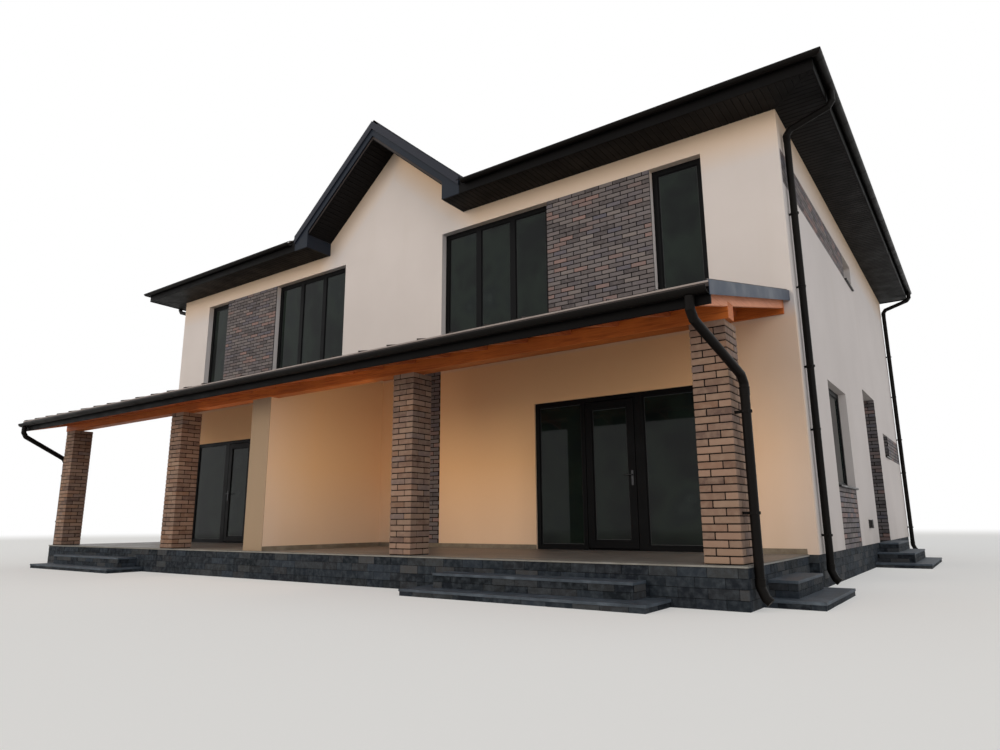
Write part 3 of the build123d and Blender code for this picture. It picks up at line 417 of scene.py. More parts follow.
gutter_paint = coated("gutter_paint", (15, 13, 12), (24, 20, 18), 0.42, 0.09)
fascia_paint = coated("fascia_paint", (12, 11, 11), (19, 17, 17), 0.5, 0.08)
gable_paint = coated("gable_paint", (24, 30, 40), (35, 41, 51), 0.42, 0.18)
barge_cover = coated("barge_cover", (36, 39, 48), (54, 51, 58), 0.4, 0.18)
frame_foil = coated("frame_foil", (9, 9, 10), (15, 15, 16), 0.4, 0.1)
sill_paint = coated("sill_paint", (30, 28, 28), (48, 44, 43), 0.36, 0.18)
flashing_paint = coated("flashing_paint", (50, 60, 76), (66, 76, 92), 0.42, 0.2)
# Painted reflection: the drip edge is pale for the sky's reflection along the porch roof's front edge.
painted_reflection_drip_edge = coated("painted_reflection_drip_edge", (152, 142, 138), (124, 115, 112), 0.45, 0.3)
roof_paint = coated("roof_paint", (52, 45, 43), (70, 62, 58), 0.42)
vent_foil = coated("vent_foil", (38, 36, 35), (58, 54, 51), 0.5)
door_paint = coated("door_paint", (40, 38, 38), (56, 53, 52), 0.42)
hinge_steel = coated("hinge_steel", (38, 38, 40), (60, 60, 62), 0.35, 0.5, 0.7)
handle_steel = coated("handle_steel", (66, 66, 68), (84, 84, 86), 0.3, 0.4, 0.7, 0.0002)
spacer_metal = coated("spacer_metal", (58, 60, 62), (74, 76, 78), 0.4, 0.3)
soffit_foil = coated("soffit_foil", (15, 14, 15), (22, 21, 20), 0.5, 0.1)
print("made the coated finishes, the last is", soffit_foil.name)

# %% [markdown]
# ### Timber
# The porch roof is planed pine under an orange-red stain. Grain runs along each piece, so noise
# is drawn out along it: long for the boards and the beam, which run with the front, and along
# the slope for the rafters. Knots are small dark rings with the grain bending round them.

# %% Stained timber
def timber(name, along, light, dark, knot):
    """Stained pine with its grain along one axis: 0 is X, 1 is Y."""
    finish = Finish(name, 0.55, gloss=0.3)
    grain_stretch, knot_stretch = [tuple(share if axis == along else 1.0 for axis in range(3))
                                   for share in (0.05, 0.45)]
    rings = finish.cloud(34, 5.0, grain_stretch, 0.6)
    fibre = finish.cloud(220, 2.0, grain_stretch)
    finish.ramp(rings, (0.3, dark), (0.5, light), (0.72, dark))
    finish.tint(finish.cloud(1.1, 3.0).remap(0.35, 0.7, 0.0, 0.5), dark)
    spots = add_node(finish.tree, "ShaderNodeTexVoronoi", Vector=finish.stretched(knot_stretch),
                     Scale=2.6).of("Distance")
    finish.tint(spots.remap(0.055, 0.03, 0.0, 0.8), knot)
    return finish.close(rings + fibre * 0.4, 0.0014)


board_timber = timber("board_timber", 0, (194, 106, 44), (144, 70, 25), (72, 34, 15))
rafter_timber = timber("rafter_timber", 1, (190, 108, 62), (146, 74, 38), (76, 37, 20))
# A paler copy of the rafter stain for the end rafters: painted light, where light reaches the porch's
# open ends.
painted_light_verge_timber = timber("painted_light_verge_timber", 1, (220, 148, 110), (194, 118, 82), (120, 60, 37))
print("made", board_timber.name, rafter_timber.name, painted_light_verge_timber.name)

# %% [markdown]
# ### Concrete, tiles and treads
# The step treads are slabs of dark concrete with a fine wash of pale grit; the porch floor is
# laid with grey-beige stoneware; slabs inside are plain concrete.

# %% Slabs
def slab_finish(name, colours, roughness, scale, depth, own_tone=False):
    """Stone, tile or concrete with soft veins and grit, from three screen colours."""
    finish = Finish(name, roughness, gloss=0.25)
    veins, grit = finish.cloud(scale, 6.0, rough=0.6), finish.cloud(260, 2.0)
    finish.ramp(veins, *zip((0.32, 0.5, 0.7), colours))
    if own_tone:
        finish.tint(finish.own_tone().remap(0.0, 1.0, 0.0, 0.45), colours[0])
    finish.tint(grit.remap(0.58, 0.75, 0.0, 0.4), colours[2])
    return finish.close(grit + veins, depth,
                        roughness=veins.remap(0.3, 0.7, roughness - 0.08, roughness + 0.1))


tread_slab = slab_finish("tread_slab", ((54, 61, 69), (68, 76, 85), (90, 99, 109)), 0.6, 5.0, 0.0012)
floor_tile = slab_finish("floor_tile", ((98, 95, 91), (114, 111, 107), (132, 129, 125)),
                         0.45, 3.0, 0.0005, True)
edge_tile = slab_finish("edge_tile", ((112, 110, 105), (128, 126, 121), (144, 143, 139)),
                        0.45, 3.0, 0.0005, True)
skirting_tile = slab_finish("skirting_tile", ((98, 88, 76), (116, 106, 92), (132, 122, 108)),
                            0.45, 6.0, 0.0004)
plain_concrete = slab_finish("plain_concrete", ((132, 129, 124), (150, 147, 142), (166, 163, 158)),
                             0.85, 1.2, 0.0015)
print("made the slab finishes, the last is", plain_concrete.name)

# %% [markdown]
# ### Glass
# By day the panes look dark: little light comes back out of the rooms, and what shows is a faint
# mirror of the sky. A smoked glass that is partly see-through does that by itself, since the
# rooms behind it are hollow.

# %% Glass
glass = Finish("pane", 0.04, gloss=0.09)
# The soft mottle of dark green and blue-grey in the pane's colour is a painted reflection.
glass.ramp(glass.cloud(1.1, 4.0), (0.38, (17, 22, 22)), (0.52, (30, 40, 35)),
           (0.62, (22, 30, 30)), (0.72, (44, 54, 52)))
pane = glass.close(Transmission_Weight=0.25, IOR=1.45)
print("made", pane.name)

# %% [markdown]
# ## Finishes on the frame
# Many of the frame's own pieces already have the right shape, so they only need their finish.
# The list goes slot by slot: the record calls a slot what the piece is made of.

# %% Give the frame its finishes
finish_of = {
    "wall_render": wall_render, "plinth_render": slate_stone, "stone_cladding": slate_stone,
    "step_stone": slate_stone, "step_tread": tread_slab, "clinker_slips": clinker,
    "pier_brick": post_brick, "concrete": plain_concrete, "window_frame": frame_foil,
    "window_glass": pane, "sill_metal": sill_paint, "side_door": door_paint,
    "vent_plastic": vent_foil, "handle_metal": handle_steel, "hinge_metal": hinge_steel,
    "porch_tiles": floor_tile, "skirting_tiles": skirting_tile, "stained_timber": board_timber,
    "flashing_metal": flashing_paint, "gutter_metal": gutter_paint, "roof_covering": roof_paint,
    "soffit_boards": soffit_foil, "fascia_boards": fascia_paint, "gable_boards": gable_paint,
}
for piece in nodes.values():
    for index, worn in enumerate(piece.data.materials):
        piece.data.materials[index] = finish_of[worn.name.split(".")[0]]
print("finishes given to", len(nodes), "pieces")

# %% [markdown]
# ## Tools for pieces
# Geometry Nodes trees are grown on an empty object, read back as a plain mesh, moved to their
# place, and gathered: one piece for each finish. These helpers do the growing and gathering.

# %% Tree helpers
def moved(place, angle=0.0, axis="Z"):
    """The matrix that turns a shape about an axis, then moves it to its place."""
    return Matrix.Translation(place) @ Matrix.Rotation(angle, 4, axis)


def new_tree(name, **inputs):
    """A Geometry Nodes tree and its inputs: numbers, kinds of things, and last a finish."""
    tree = bpy.data.node_groups.new(name, "GeometryNodeTree")
    tree.interface.new_socket("Geometry", in_out="OUTPUT", socket_type="NodeSocketGeometry")
    for title, value in (*inputs.items(), ("Finish", "Material")):
        kind = value if isinstance(value, str) else {int: "Int", float: "Float"}[type(value)]
        socket = tree.interface.new_socket(title, in_out="INPUT", socket_type="NodeSocket" + kind)
        if kind in ("Int", "Float"):
            socket.default_value = value
    entries = tree.nodes.new("NodeGroupInput").outputs[:len(inputs) + 1]
    return tree, *[Result(tree, entry) for entry in entries]


def vector(tree, **parts):
    """Three numbers, X, Y and Z, as one vector."""
    return add_node(tree, "ShaderNodeCombineXYZ", **parts)


def random_number(tree, seed, high=1.0):
    """A number of its own for each point, from 0 up to this."""
    return add_node(tree, "FunctionNodeRandomValue", in2=0.0, in3=high, Seed=seed).of(1)


def store(points, name, value, kind="FLOAT"):
    """Writes a value on each point under a name."""
    return add_node(points.tree, "GeometryNodeStoreNamedAttribute",
                    {"data_type": kind, "domain": "POINT"}, Geometry=points, Name=name, Value=value)


def recall(tree, name):
    """A vector that was stored under a name."""
    return add_node(tree, "GeometryNodeInputNamedAttribute", {"data_type": "FLOAT_VECTOR"}, Name=name)


def row_and_place(number, row_length):
    """Splits the number of a point into its row and its place in that row."""
    row = ((number + 0.5) / row_length).calc("FLOOR")
    return row, number - row * row_length


def end_tree(geometry, paint, pattern=None, **turn_or_size):
    """Ends a tree: a copy of the pattern at each point, made real, and painted."""
    tree = geometry.tree
    if pattern is not None:
        shape = add_node(tree, "GeometryNodeObjectInfo", Object=pattern).of("Geometry")
        geometry = add_node(tree, "GeometryNodeInstanceOnPoints", Points=geometry,
                            Instance=shape, **turn_or_size)
    real = add_node(tree, "GeometryNodeRealizeInstances", Geometry=geometry)
    painted = add_node(tree, "GeometryNodeSetMaterial", Geometry=real, Material=paint)
    add_node(tree, "NodeGroupOutput", in0=painted)
    print("tree", tree.name, "with", len(tree.nodes), "nodes")


def read_back(holder):
    """The final mesh of an object, which is then removed."""
    bpy.context.view_layer.update()
    mesh = bpy.data.meshes.new_from_object(
        holder.evaluated_get(bpy.context.evaluated_depsgraph_get()))
    bpy.data.objects.remove(holder)
    return mesh


def grow(tree, finish, matrix=Matrix(), **values):
    """The mesh that a tree makes from these inputs, moved by a matrix."""
    values["Finish"] = finish
    seed = put("seed", bpy.data.meshes.new("seed"))
    modifier = seed.modifiers.new("grow", "NODES")
    modifier.node_group = tree
    for item in tree.interface.items_tree:
        if item.in_out == "INPUT" and item.name in values:
            modifier[item.identifier] = values[item.name]
    mesh = read_back(seed)
    mesh.transform(matrix)
    return mesh


print("tree helpers ready")

# %% Piece helpers
def round_off(mesh, degrees):
    """Shades a mesh smooth, apart from edges that turn by more than this."""
    mesh.shade_smooth()
    work = opened(mesh)
    for edge in work.edges:
        if len(edge.link_faces) != 2 or edge.calc_face_angle(0) > math.radians(degrees):
            edge.smooth = False
    settle(work, mesh)


def gather(name, meshes, finish=None, body="house", smooth=None, replaces=""):
    """One piece from several meshes: it rides on a body, fills a slot and stands for nodes."""
    whole = bmesh.new()
    slots = []
    for mesh in meshes:
        start = len(whole.faces)
        whole.from_mesh(mesh)
        whole.faces.ensure_lookup_table()
        for face in whole.faces[start:]:
            own = mesh.materials[face.material_index] if len(mesh.materials) else finish
            if own not in slots:
                slots.append(own)
            face.material_index = slots.index(own)
    mesh = settle(whole, name)
    for own in slots:
        mesh.materials.append(own)
    if smooth is not None:
        round_off(mesh, smooth)
    piece = put(name, mesh)
    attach(piece, body)
    if replaces:
        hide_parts(*replaces.split())
    print(name, "triangles", sum(len(face.vertices) - 2 for face in mesh.polygons))
    return piece


def islands(name):
    """The boxes of a frame piece's separate solids, as (low, high) corners."""
    work = opened(nodes[name].data, merged=True)
    seen, boxes = set(), []
    for first in work.verts:
        if first in seen:
            continue
        seen.add(first)
        todo, points = [first], []
        while todo:
            vert = todo.pop()
            points.append(vert.co.copy())
            for edge in vert.link_edges:
                other = edge.other_vert(vert)
                if other not in seen:
                    seen.add(other)
                    todo.append(other)
        boxes.append(tuple(Vector([pick(p[i] for p in points) for i in range(3)])
                           for pick in (min, max)))
    work.free()
    return sorted(boxes, key=lambda box: tuple(box[0]))


def hide_away(*objects):
    """Takes a pattern object, such as one brick, out of the scene once it has been used."""
    for thing in objects:
        bpy.data.objects.remove(thing)


print("piece helpers ready")

# %% Shapes that repeat
def cube(low, high):
    """A plain box as a bmesh."""
    low, high = Vector(low), Vector(high)
    work = bmesh.new()
    bmesh.ops.create_cube(work, size=1)
    bmesh.ops.scale(work, vec=high - low, verts=work.verts)
    bmesh.ops.translate(work, vec=(low + high) / 2, verts=work.verts)
    return work


def solid_box(low, high, matrix=Matrix()):
    """A plain box as a mesh, moved by a matrix."""
    mesh = settle(cube(low, high), "box")
    mesh.transform(matrix)
    return mesh


def bevel(work, width, edges):
    """Softens edges with one narrow face each."""
    bmesh.ops.bevel(work, geom=edges, offset=width, segments=1, affect="EDGES", clamp_overlap=True)


def block(name, size, edge):
    """A pattern brick: its face in the plane y = 0, with softened edges there."""
    x, y, z = size
    work = cube((-x / 2, 0, -z / 2), (x / 2, y, z / 2))
    bevel(work, edge, [e for e in work.edges if any(v.co.y < edge for v in e.verts)])
    return put(name, settle(work, name))


def loft(name, rings, closed=False):
    """A skin over rings of points; its end rings are capped, or joined when it is closed."""
    work = bmesh.new()
    rings = [[work.verts.new(point) for point in ring] for ring in rings]
    pairs = list(zip(rings, rings[1:] + rings[:1]))
    for one, two in pairs if closed else pairs[:-1]:
        for i in range(len(one)):
            j = (i + 1) % len(one)
            work.faces.new((one[i], one[j], two[j], two[i]))
    if not closed:
        work.faces.new(rings[0])
        work.faces.new(rings[-1])
    bmesh.ops.recalc_face_normals(work, faces=work.faces)
    return settle(work, name)


def rod(points, radius):
    """A round bar along a line of points, mitred where it turns."""
    line = bpy.data.curves.new("rod", "CURVE")
    line.dimensions, line.bevel_depth, line.bevel_resolution, line.use_fill_caps = "3D", radius, 2, True
    run = line.splines.new("POLY")
    run.points.add(len(points) - 1)
    for point, where in zip(run.points, points):
        point.co = (*where, 1)
    return read_back(put("rod", line))


def facing(way, corner):
    """The matrix that turns a pattern made in X and Z, seen from -Y, to look another way."""
    axes = {"front": ((1, 0, 0), (0, 1, 0), (0, 0, 1)), "back": ((-1, 0, 0), (0, -1, 0), (0, 0, 1)),
            "right": ((0, 1, 0), (-1, 0, 0), (0, 0, 1)), "left": ((0, -1, 0), (1, 0, 0), (0, 0, 1)),
            "up": ((1, 0, 0), (0, 0, -1), (0, 1, 0))}[way]
    return Matrix.Translation(corner) @ Matrix(axes).transposed().to_4x4()


def side_of(low, high, way):
    """One side of a box: the matrix that moves a pattern onto it, its width and its height."""
    corner = {"front": (low.x, low.y), "back": (high.x, high.y),
              "right": (high.x, low.y), "left": (low.x, high.y)}[way]
    width = high.x - low.x if way in ("front", "back") else high.y - low.y
    return facing(way, (*corner, low.z)), width, high.z - low.z


def outer_side(low, high):
    """Which way a thin box in an outer wall looks."""
    if high.x - low.x > high.y - low.y:
        return "front" if low.y < 5 else "back"
    return "right" if low.x > 0 else "left"


def mirrored(mesh):
    """A copy on the other side of the line between the homes."""
    other = mesh.copy()
    other.transform(Matrix.Scale(-1, 4, (1, 0, 0)))
    other.flip_normals()
    return other


def both_homes(*meshes):
    """These meshes and their copies on the other home."""
    return [*meshes, *[mirrored(mesh) for mesh in meshes]]


def slice_off(work, point, direction):
    """Removes what lies beyond a plane, and gives the geometry of the cut."""
    return bmesh.ops.bisect_plane(work, geom=[*work.verts, *work.edges, *work.faces],
                                  plane_co=point, plane_no=direction, clear_outer=True)["geom_cut"]


def drop_slivers(work):
    """Joins corners that a cut left too close together."""
    bmesh.ops.dissolve_degenerate(work, dist=0.0001, edges=work.edges[:])


def cut(mesh, *planes):
    """Cuts a mesh with planes, each (point, direction), and closes the cuts."""
    work = opened(mesh)
    for plane in planes:
        rim = [e for e in slice_off(work, *plane)
               if isinstance(e, bmesh.types.BMEdge) and e.is_valid and e.is_boundary]
        bmesh.ops.holes_fill(work, edges=rim, sides=0)
    drop_slivers(work)
    settle(work, mesh)


print("shapes ready")

# %% [markdown]
# ## Bricks in courses
# A wall of bricks is a rule: rows, a half-brick shift on every second row, and cut bricks at the
# ends. Stacking copies by hand would be slow and leave gaps, so a Geometry Nodes tree does it.
# It scatters one point for each brick, works out from the point's number which row and column it
# is in, trims the end bricks by scaling them, drops slivers, and gives each brick its own tone.

# %% Tree for bricks in courses
(courses, width, height, length, thickness, pattern_height, joint, shift, start, uneven, seed,
 brick, paint) = new_tree(
    "bricks_in_courses", Width=1.0, Height=1.0, Length=0.24, Thickness=0.065,
    PatternHeight=0.065, Joint=0.01, Shift=0.5, Start=0.0, Unevenness=0.001, Seed=1,
    Brick="Object")
step = length + joint
rows = ((height + joint) / (thickness + joint)).calc("ROUND").calc("MAXIMUM", 1.0)
row_step = (height + joint) / rows
columns = (width / step).calc("CEIL") + 2.0
row, column = row_and_place(add_node(courses, "GeometryNodeInputIndex"), columns)
left = (column - 1.0) * step + (start + row % 2.0 * (shift * step))
cut_left, cut_right = left.calc("MAXIMUM", 0.0), (left + length).calc("MINIMUM", width)
run, thick = cut_right - cut_left, row_step - joint
where = vector(courses, X=(cut_left + cut_right) * 0.5, Y=random_number(courses, seed, uneven),
               Z=row * row_step + thick * 0.5)
size = vector(courses, X=run / length, Y=1.0, Z=thick / pattern_height)
points = add_node(courses, "GeometryNodePoints", Count=rows * columns)
points = add_node(courses, "GeometryNodeSetPosition", Geometry=points, Position=where)
points = store(points, "brick_size", size, "FLOAT_VECTOR")
points = store(points, "tone", random_number(courses, seed + 7.0))
points = add_node(courses, "GeometryNodeDeleteGeometry", {"domain": "POINT"}, Geometry=points,
                  Selection=run.calc("LESS_THAN", 0.02))
end_tree(points, paint, brick, Scale=recall(courses, "brick_size"))


def lay(side, brick, thick, joint, finish, seed, **more):
    """Bricks on a side, which is (matrix, width, height)."""
    matrix, width, height = side
    return grow(courses, finish, matrix, Width=width, Height=height, Length=brick.dimensions.x,
                Thickness=thick, PatternHeight=brick.dimensions.z, Joint=joint, Seed=seed,
                Brick=brick, **more)


# %% [markdown]
# ### Clinker panels
# Dark slips fill the wall between the upper windows, the bands on the side walls, the strip
# beside the inner porch posts and the jambs of the side doorways. The slips are 240 by 60 mm with
# 14 mm joints, and lie flush with the render; the joints are 6 mm deep.

# %% Clinker slips
slip = block("slip", (0.24, 0.014, 0.065), 0.0025)
slip_height, slip_joint, joint_depth = 0.060, 0.014, 0.006
slip_meshes, joint_meshes = [], []


def lay_slips(low, high, way, seed, start=0.0):
    """Slips on one side of a box, and the rest of the box as mortar, set back from them."""
    slip_meshes.append(lay(side_of(low, high, way), slip, slip_height, slip_joint, clinker, seed,
                           Start=start))
    low, high = low.copy(), high.copy()
    axis = 1 if way in ("front", "back") else 0
    if way in ("front", "left"):
        low[axis] += joint_depth
    else:
        high[axis] -= joint_depth
    joint_meshes.append(solid_box(low, high))


for number, (low, high) in enumerate(islands("brick_panels")):
    lay_slips(low, high, outer_side(low, high), 10 + number)
for number, (low, high) in enumerate(islands("doorway_linings")):
    lay_slips(low, high, "back" if low.y < 6 else "front", 40 + number, 0.12 * (number % 2))
gather("clinker_bricks", slip_meshes,
       replaces="brick_panels doorway_linings")
gather("clinker_joints", joint_meshes, dark_mortar)

# %% [markdown]
# ### Brick posts
# Each porch post is one and a half bricks square. Four whole bricks chase each other round every
# course, and the next course goes the other way round, so on each face a long brick and a short
# one take turns. A second tree places brick k of a course by turning the first one k quarter
# turns; that rule needs no list of places at all.

# %% Tree for a brick post
post, count, course, side, length, seed, brick, paint = new_tree(
    "brick_post", Courses=32, Course=0.077, Side=0.382, Length=0.25, Seed=1, Brick="Object")
per_course, middle_share = 4.0, 0.578       # a brick's middle, as a share of its course's height
number = add_node(post, "GeometryNodeInputIndex")
row = ((number + 0.5) / per_course).calc("FLOOR")
flip = 1.0 - row % 2.0 * 2.0
angle = number % per_course * flip * (math.pi / 2)
first = vector(post, X=(length - side) * 0.5 * flip, Y=side * -0.5, Z=(row + middle_share) * course)
turned = add_node(post, "ShaderNodeVectorRotate", {"rotation_type": "Z_AXIS"}, Vector=first,
                  Angle=angle)
points = add_node(post, "GeometryNodePoints", Count=count * per_course)
points = add_node(post, "GeometryNodeSetPosition", Geometry=points, Position=turned)
points = store(points, "brick_turn", vector(post, Z=angle), "FLOAT_VECTOR")
points = store(points, "tone", random_number(post, seed))
end_tree(points, paint, brick, Rotation=recall(post, "brick_turn"))

# %% Brick posts
post_courses = 32
whole_brick = block("whole_brick", (0.25, 0.12, 0.065), 0.0045)
post_meshes, core_meshes = [], []
for number, (low, high) in enumerate(islands("porch_piers")):
    middle = (low + high) / 2
    post_meshes.append(grow(
        post, post_brick, moved((middle.x, middle.y, low.z)), Courses=post_courses,
        Course=(high.z - low.z) / post_courses, Side=high.x - low.x, Seed=60 + number,
        Brick=whole_brick))
    inset = Vector((0.007, 0.007, 0))
    core_meshes.append(solid_box(low + inset, high - inset))
gather("post_bricks", post_meshes, replaces="porch_piers")
gather("post_joints", core_meshes, dark_mortar)

# %% [markdown]
# ### Stone round the base
# The plinth, the porch base and every riser are faced with slate-grey stone cut like long bricks:
# about 300 by 100 mm on the walls and lower courses on the steps. The facing stands 5 mm proud of
# the frame, so the frame's own surface becomes the joints, and the treads still oversail it.

# %% Stone facing
facing_stone = block("facing_stone", (0.30, 0.012, 0.095), 0.003)
stone_joint, proud = 0.004, 0.005
stone_meshes = []


def face_with_stone(low, high, ways, rows_high, seed):
    """Stone on the named sides of a box; the front and back courses turn its corners."""
    thick = (high.z - low.z) / rows_high - stone_joint
    for seed, way in enumerate(ways, seed):
        out = Vector((proud, proud if way in ("front", "back") else 0.0, 0))
        stone_meshes.append(lay(side_of(low - out, high + out, way), facing_stone, thick,
                                stone_joint, slate_stone, seed, Shift=0.42,
                                Start=0.07 * (seed % 4), Unevenness=0.0025))


face_with_stone(*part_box("porch_platform"), ("front", "right", "left"), 4, 100)
plinth_low, plinth_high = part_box("plinth")
face_with_stone(plinth_low, plinth_high, ("right", "left", "back"), 4, 110)
corner_from, corner_to = 7.4, 7.515     # the bits of plinth that show beside the porch base
for low_x, high_x in ((-corner_to, -corner_from), (corner_from, corner_to)):
    face_with_stone(Vector((low_x, plinth_low.y, 0)), Vector((high_x, *plinth_high.yz)),
                    ("front",), 4, 118)
nose = 0.012
riser_base = {8: 0.0, 25: 0.08, 42: 0.25}   # from each tread's top, in centimetres, to the top below
for number, (low, high) in enumerate(islands("step_treads")):
    under = riser_base[round(high.z * 100)]
    if high.y < -2.5:       # a step of the front flights, or else of a flight at the side
        ways = ("front", "right", "left")
    else:
        ways = ("right" if low.x > 0 else "left", "front", "back")
    face_with_stone(
        Vector((low.x + nose * ("left" in ways), low.y + nose, under)),
        Vector((high.x - nose * ("right" in ways), high.y - nose * ("back" in ways), low.z)),
        ways, 1 if under == 0 else 2, 130 + 3 * number)
gather("stone_facing", stone_meshes)
for name in ("porch_platform", "plinth", "step_blocks"):
    nodes[name].data.materials[0] = grey_mortar
hide_away(slip, whole_brick, facing_stone)

# %% [markdown]
# ## Softened edges
# Real slabs, sills, beams and sheet metal never have knife-sharp edges: a bevel of a few
# millimetres gives each edge its thin line of light. The frame's own meshes stay as they are, so
# a copy is merged, its flat faces are joined again, and the copy's edges are bevelled.


def soften(name, edge, finish, other=None, chosen=None, body="house"):
    """A bevelled copy, which replaces a frame piece. Chosen faces get another finish."""
    work = opened(nodes[name].data, merged=True)
    bmesh.ops.dissolve_limit(work, angle_limit=math.radians(1), verts=work.verts, edges=work.edges)
    bevel(work, edge, [e for e in work.edges if len(e.link_faces) == 2 and e.is_convex
                       and e.calc_face_angle(0) > math.radians(25)])
    for face in work.faces:
        face.material_index = int(chosen is not None and chosen(face.calc_center_median()))
    data = settle(work, name)
    for own in (finish, other) if other else ():
        data.materials.append(own)
    return gather(name + "_soft", [data], finish, body, replaces=name)


for edge, finish, names in (
        (0.003, tread_slab, "step_treads"), (0.003, sill_paint, "window_sills"),
        (0.004, board_timber, "porch_beam porch_ledger"), (0.0015, skirting_tile, "porch_skirting"),
        (0.0015, flashing_paint, "verge_flashings"), (0.002, gable_paint, "eaves_returns"),
        (0.003, fascia_paint, "front_fascias side_fascias rear_fascia porch_fascia"),
        (0.003, frame_foil, "window_frames screen_frames side_door_frames left_door_leaf")):
    for name in names.split():
        soften(name, edge, finish)
soften("door_leaf", 0.003, frame_foil, body="porch_door")
end_strip, first_board = 0.15, 0.029    # the end rafters and the front board have their own look
end_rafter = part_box("porch_rafters")[1].x - end_strip
# Painted light: the end rafters take the paler copy of the stain.
soften("porch_rafters", 0.003, rafter_timber, painted_light_verge_timber, lambda spot: abs(spot.x) > end_rafter)
upper_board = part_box("gable_boards")[0].y + first_board
soften("gable_boards", 0.004, gable_paint, barge_cover, lambda spot: spot.y < upper_board)

# %% Slimmer flaps on the porch verges
flap_least, flap_lift = 0.12, 0.045     # the frame's flaps are 190 mm deep, the real ones 145 mm
flap_points = bpy.data.objects["verge_flashings_soft"].data.vertices
top_at = {}
for point in flap_points:
    end = round(point.co.y)
    top_at[end] = max(top_at.get(end, 0.0), point.co.z)
for point in flap_points:
    if top_at[round(point.co.y)] - point.co.z > flap_least:
        point.co.z += flap_lift
print("flaps made slimmer, ends at", sorted(top_at))

# %% [markdown]
# ## Boards in a row
# The boxed eaves are closed with narrow boards that meet in V-shaped grooves, laid square to each
# wall and mitred at the corners. The porch ceiling is planed boards on the rafters. Both are one
# board repeated at an even pitch, which is a very small tree; each row is then cut to its outline.

# %% Tree for boards in a row
board_row, count, pitch, board, paint = new_tree(
    "boards_in_a_row", Count=10, Pitch=0.1, Board="Object")
end_tree(add_node(board_row, "GeometryNodeMeshLine", Count=count,
                  Offset=vector(board_row, X=pitch)), paint, board)


def board(name, width, length, thick, groove):
    """A pattern board from x = 0 and y = 0, with its grooved face below, at z = 0."""
    outline = [(0, groove), (groove, 0), (width - groove, 0), (width, groove), (width, thick),
               (0, thick)]
    return put(name, loft(name, [[(x, y, z) for x, z in outline] for y in (0, length)]))


# %% Eaves boards
board_width, board_thick = 0.1, 0.016
wall_half, wall_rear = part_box("right_side_wall")[1].x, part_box("rear_wall")[1].y
soffit_low, soffit_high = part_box("side_soffits")
eaves_half, eaves_front, eaves_level = soffit_high.x, soffit_low.y, soffit_low.z
return_x, return_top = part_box("eaves_returns")[1].xz
overhang = -eaves_front
narrow_board = board("eaves_board", board_width, overhang, board_thick, 0.007)


def soffit_row(reach, matrix=Matrix()):
    """Eaves boards in a row, at least as long as this."""
    return grow(board_row, soffit_foil, matrix, Count=math.ceil(reach / board_width),
                Pitch=board_width, Board=narrow_board)


row = soffit_row(eaves_half - return_x, moved((return_x, eaves_front, eaves_level)))
cut(row, ((wall_half, 0, 0), (1, 1, 0)))
run = soffit_row(wall_rear - eaves_front,
                 moved((eaves_half, eaves_front, eaves_level), math.pi / 2))
cut(run, ((wall_half, 0, 0), (-1, -1, 0)), ((0, wall_rear, 0), (0, 1, 0)))
strip = solid_box((-0.016, 0, -0.003), (0.016, overhang * math.sqrt(2) - 0.01, 0.006),
                  moved((wall_half, 0, eaves_level), math.radians(225)))
gather("eaves_boards", both_homes(row, run, strip), soffit_foil,
       replaces="front_soffits side_soffits")

# %% Boards under the gable's overhang
gable_low, gable_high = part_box("gable_roof")
wall_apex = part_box("front_wall_upper")[1].z
rake = math.atan2(wall_apex - return_top, return_x)
rake_length = math.hypot(wall_apex - return_top, return_x)
tuck = 0.025    # how far the boards stop short of the return's outer face
row = soffit_row(rake_length)
cut(row, ((rake_length, 0, 0), (1, 0, 0)))
row.transform(moved((0, eaves_front, wall_apex), rake, "Y") @ moved((0, 0, -board_thick)))
cut(row, ((0, 0, 0), (-1, 0, 0)), ((return_x - tuck, 0, 0), (1, 0, 0)))
gather("gable_ceiling", both_homes(row))

# %% Porch ceiling boards
boards_low, boards_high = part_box("porch_boards")
ceiling_thick, ceiling_rows = 0.02, 28
fall = math.atan2(boards_high.z - boards_low.z - ceiling_thick / math.cos(math.radians(14)),
                  -boards_low.y)
ceiling_pitch = -boards_low.y / math.cos(fall) / ceiling_rows
ceiling_board = board("porch_board", ceiling_pitch, boards_high.x - boards_low.x, ceiling_thick,
                      0.005)
ceiling = grow(board_row, board_timber, moved((boards_high.x, *boards_low.yz), fall, "X")
               @ moved((0, 0, 0), math.pi / 2), Count=ceiling_rows, Pitch=ceiling_pitch,
               Board=ceiling_board)
cut(ceiling, ((0, -0.0005, 0), (0, 1, 0)), ((0, boards_low.y, 0), (0, -1, 0)))
gather("porch_ceiling", [ceiling], replaces="porch_boards")
hide_away(narrow_board, ceiling_board)

# %% [markdown]
# ## Gutters and pipes
# A half-round gutter has a rolled bead on its rim, which stiffens it, and hangs in flat straps
# every 60 cm. The strap is one arc, so a tree puts a copy at each step along a run. The pipes are
# pushed into sockets below each elbow, and held by ring clips; both are short collars.

# %% Tree for a run of copies
spaced, run_length, spacing, end_gap, pattern, paint = new_tree(
    "copies_along_a_run", Length=1.0, Spacing=0.6, Gap=0.15, Pattern="Object")
inner = run_length - end_gap * 2.0
gaps = (inner / spacing).calc("ROUND").calc("MAXIMUM", 1.0)
end_tree(add_node(spaced, "GeometryNodeMeshLine", Count=gaps + 1.0,
                  Start_Location=vector(spaced, X=end_gap), Offset=vector(spaced, X=inner / gaps)),
         paint, pattern)

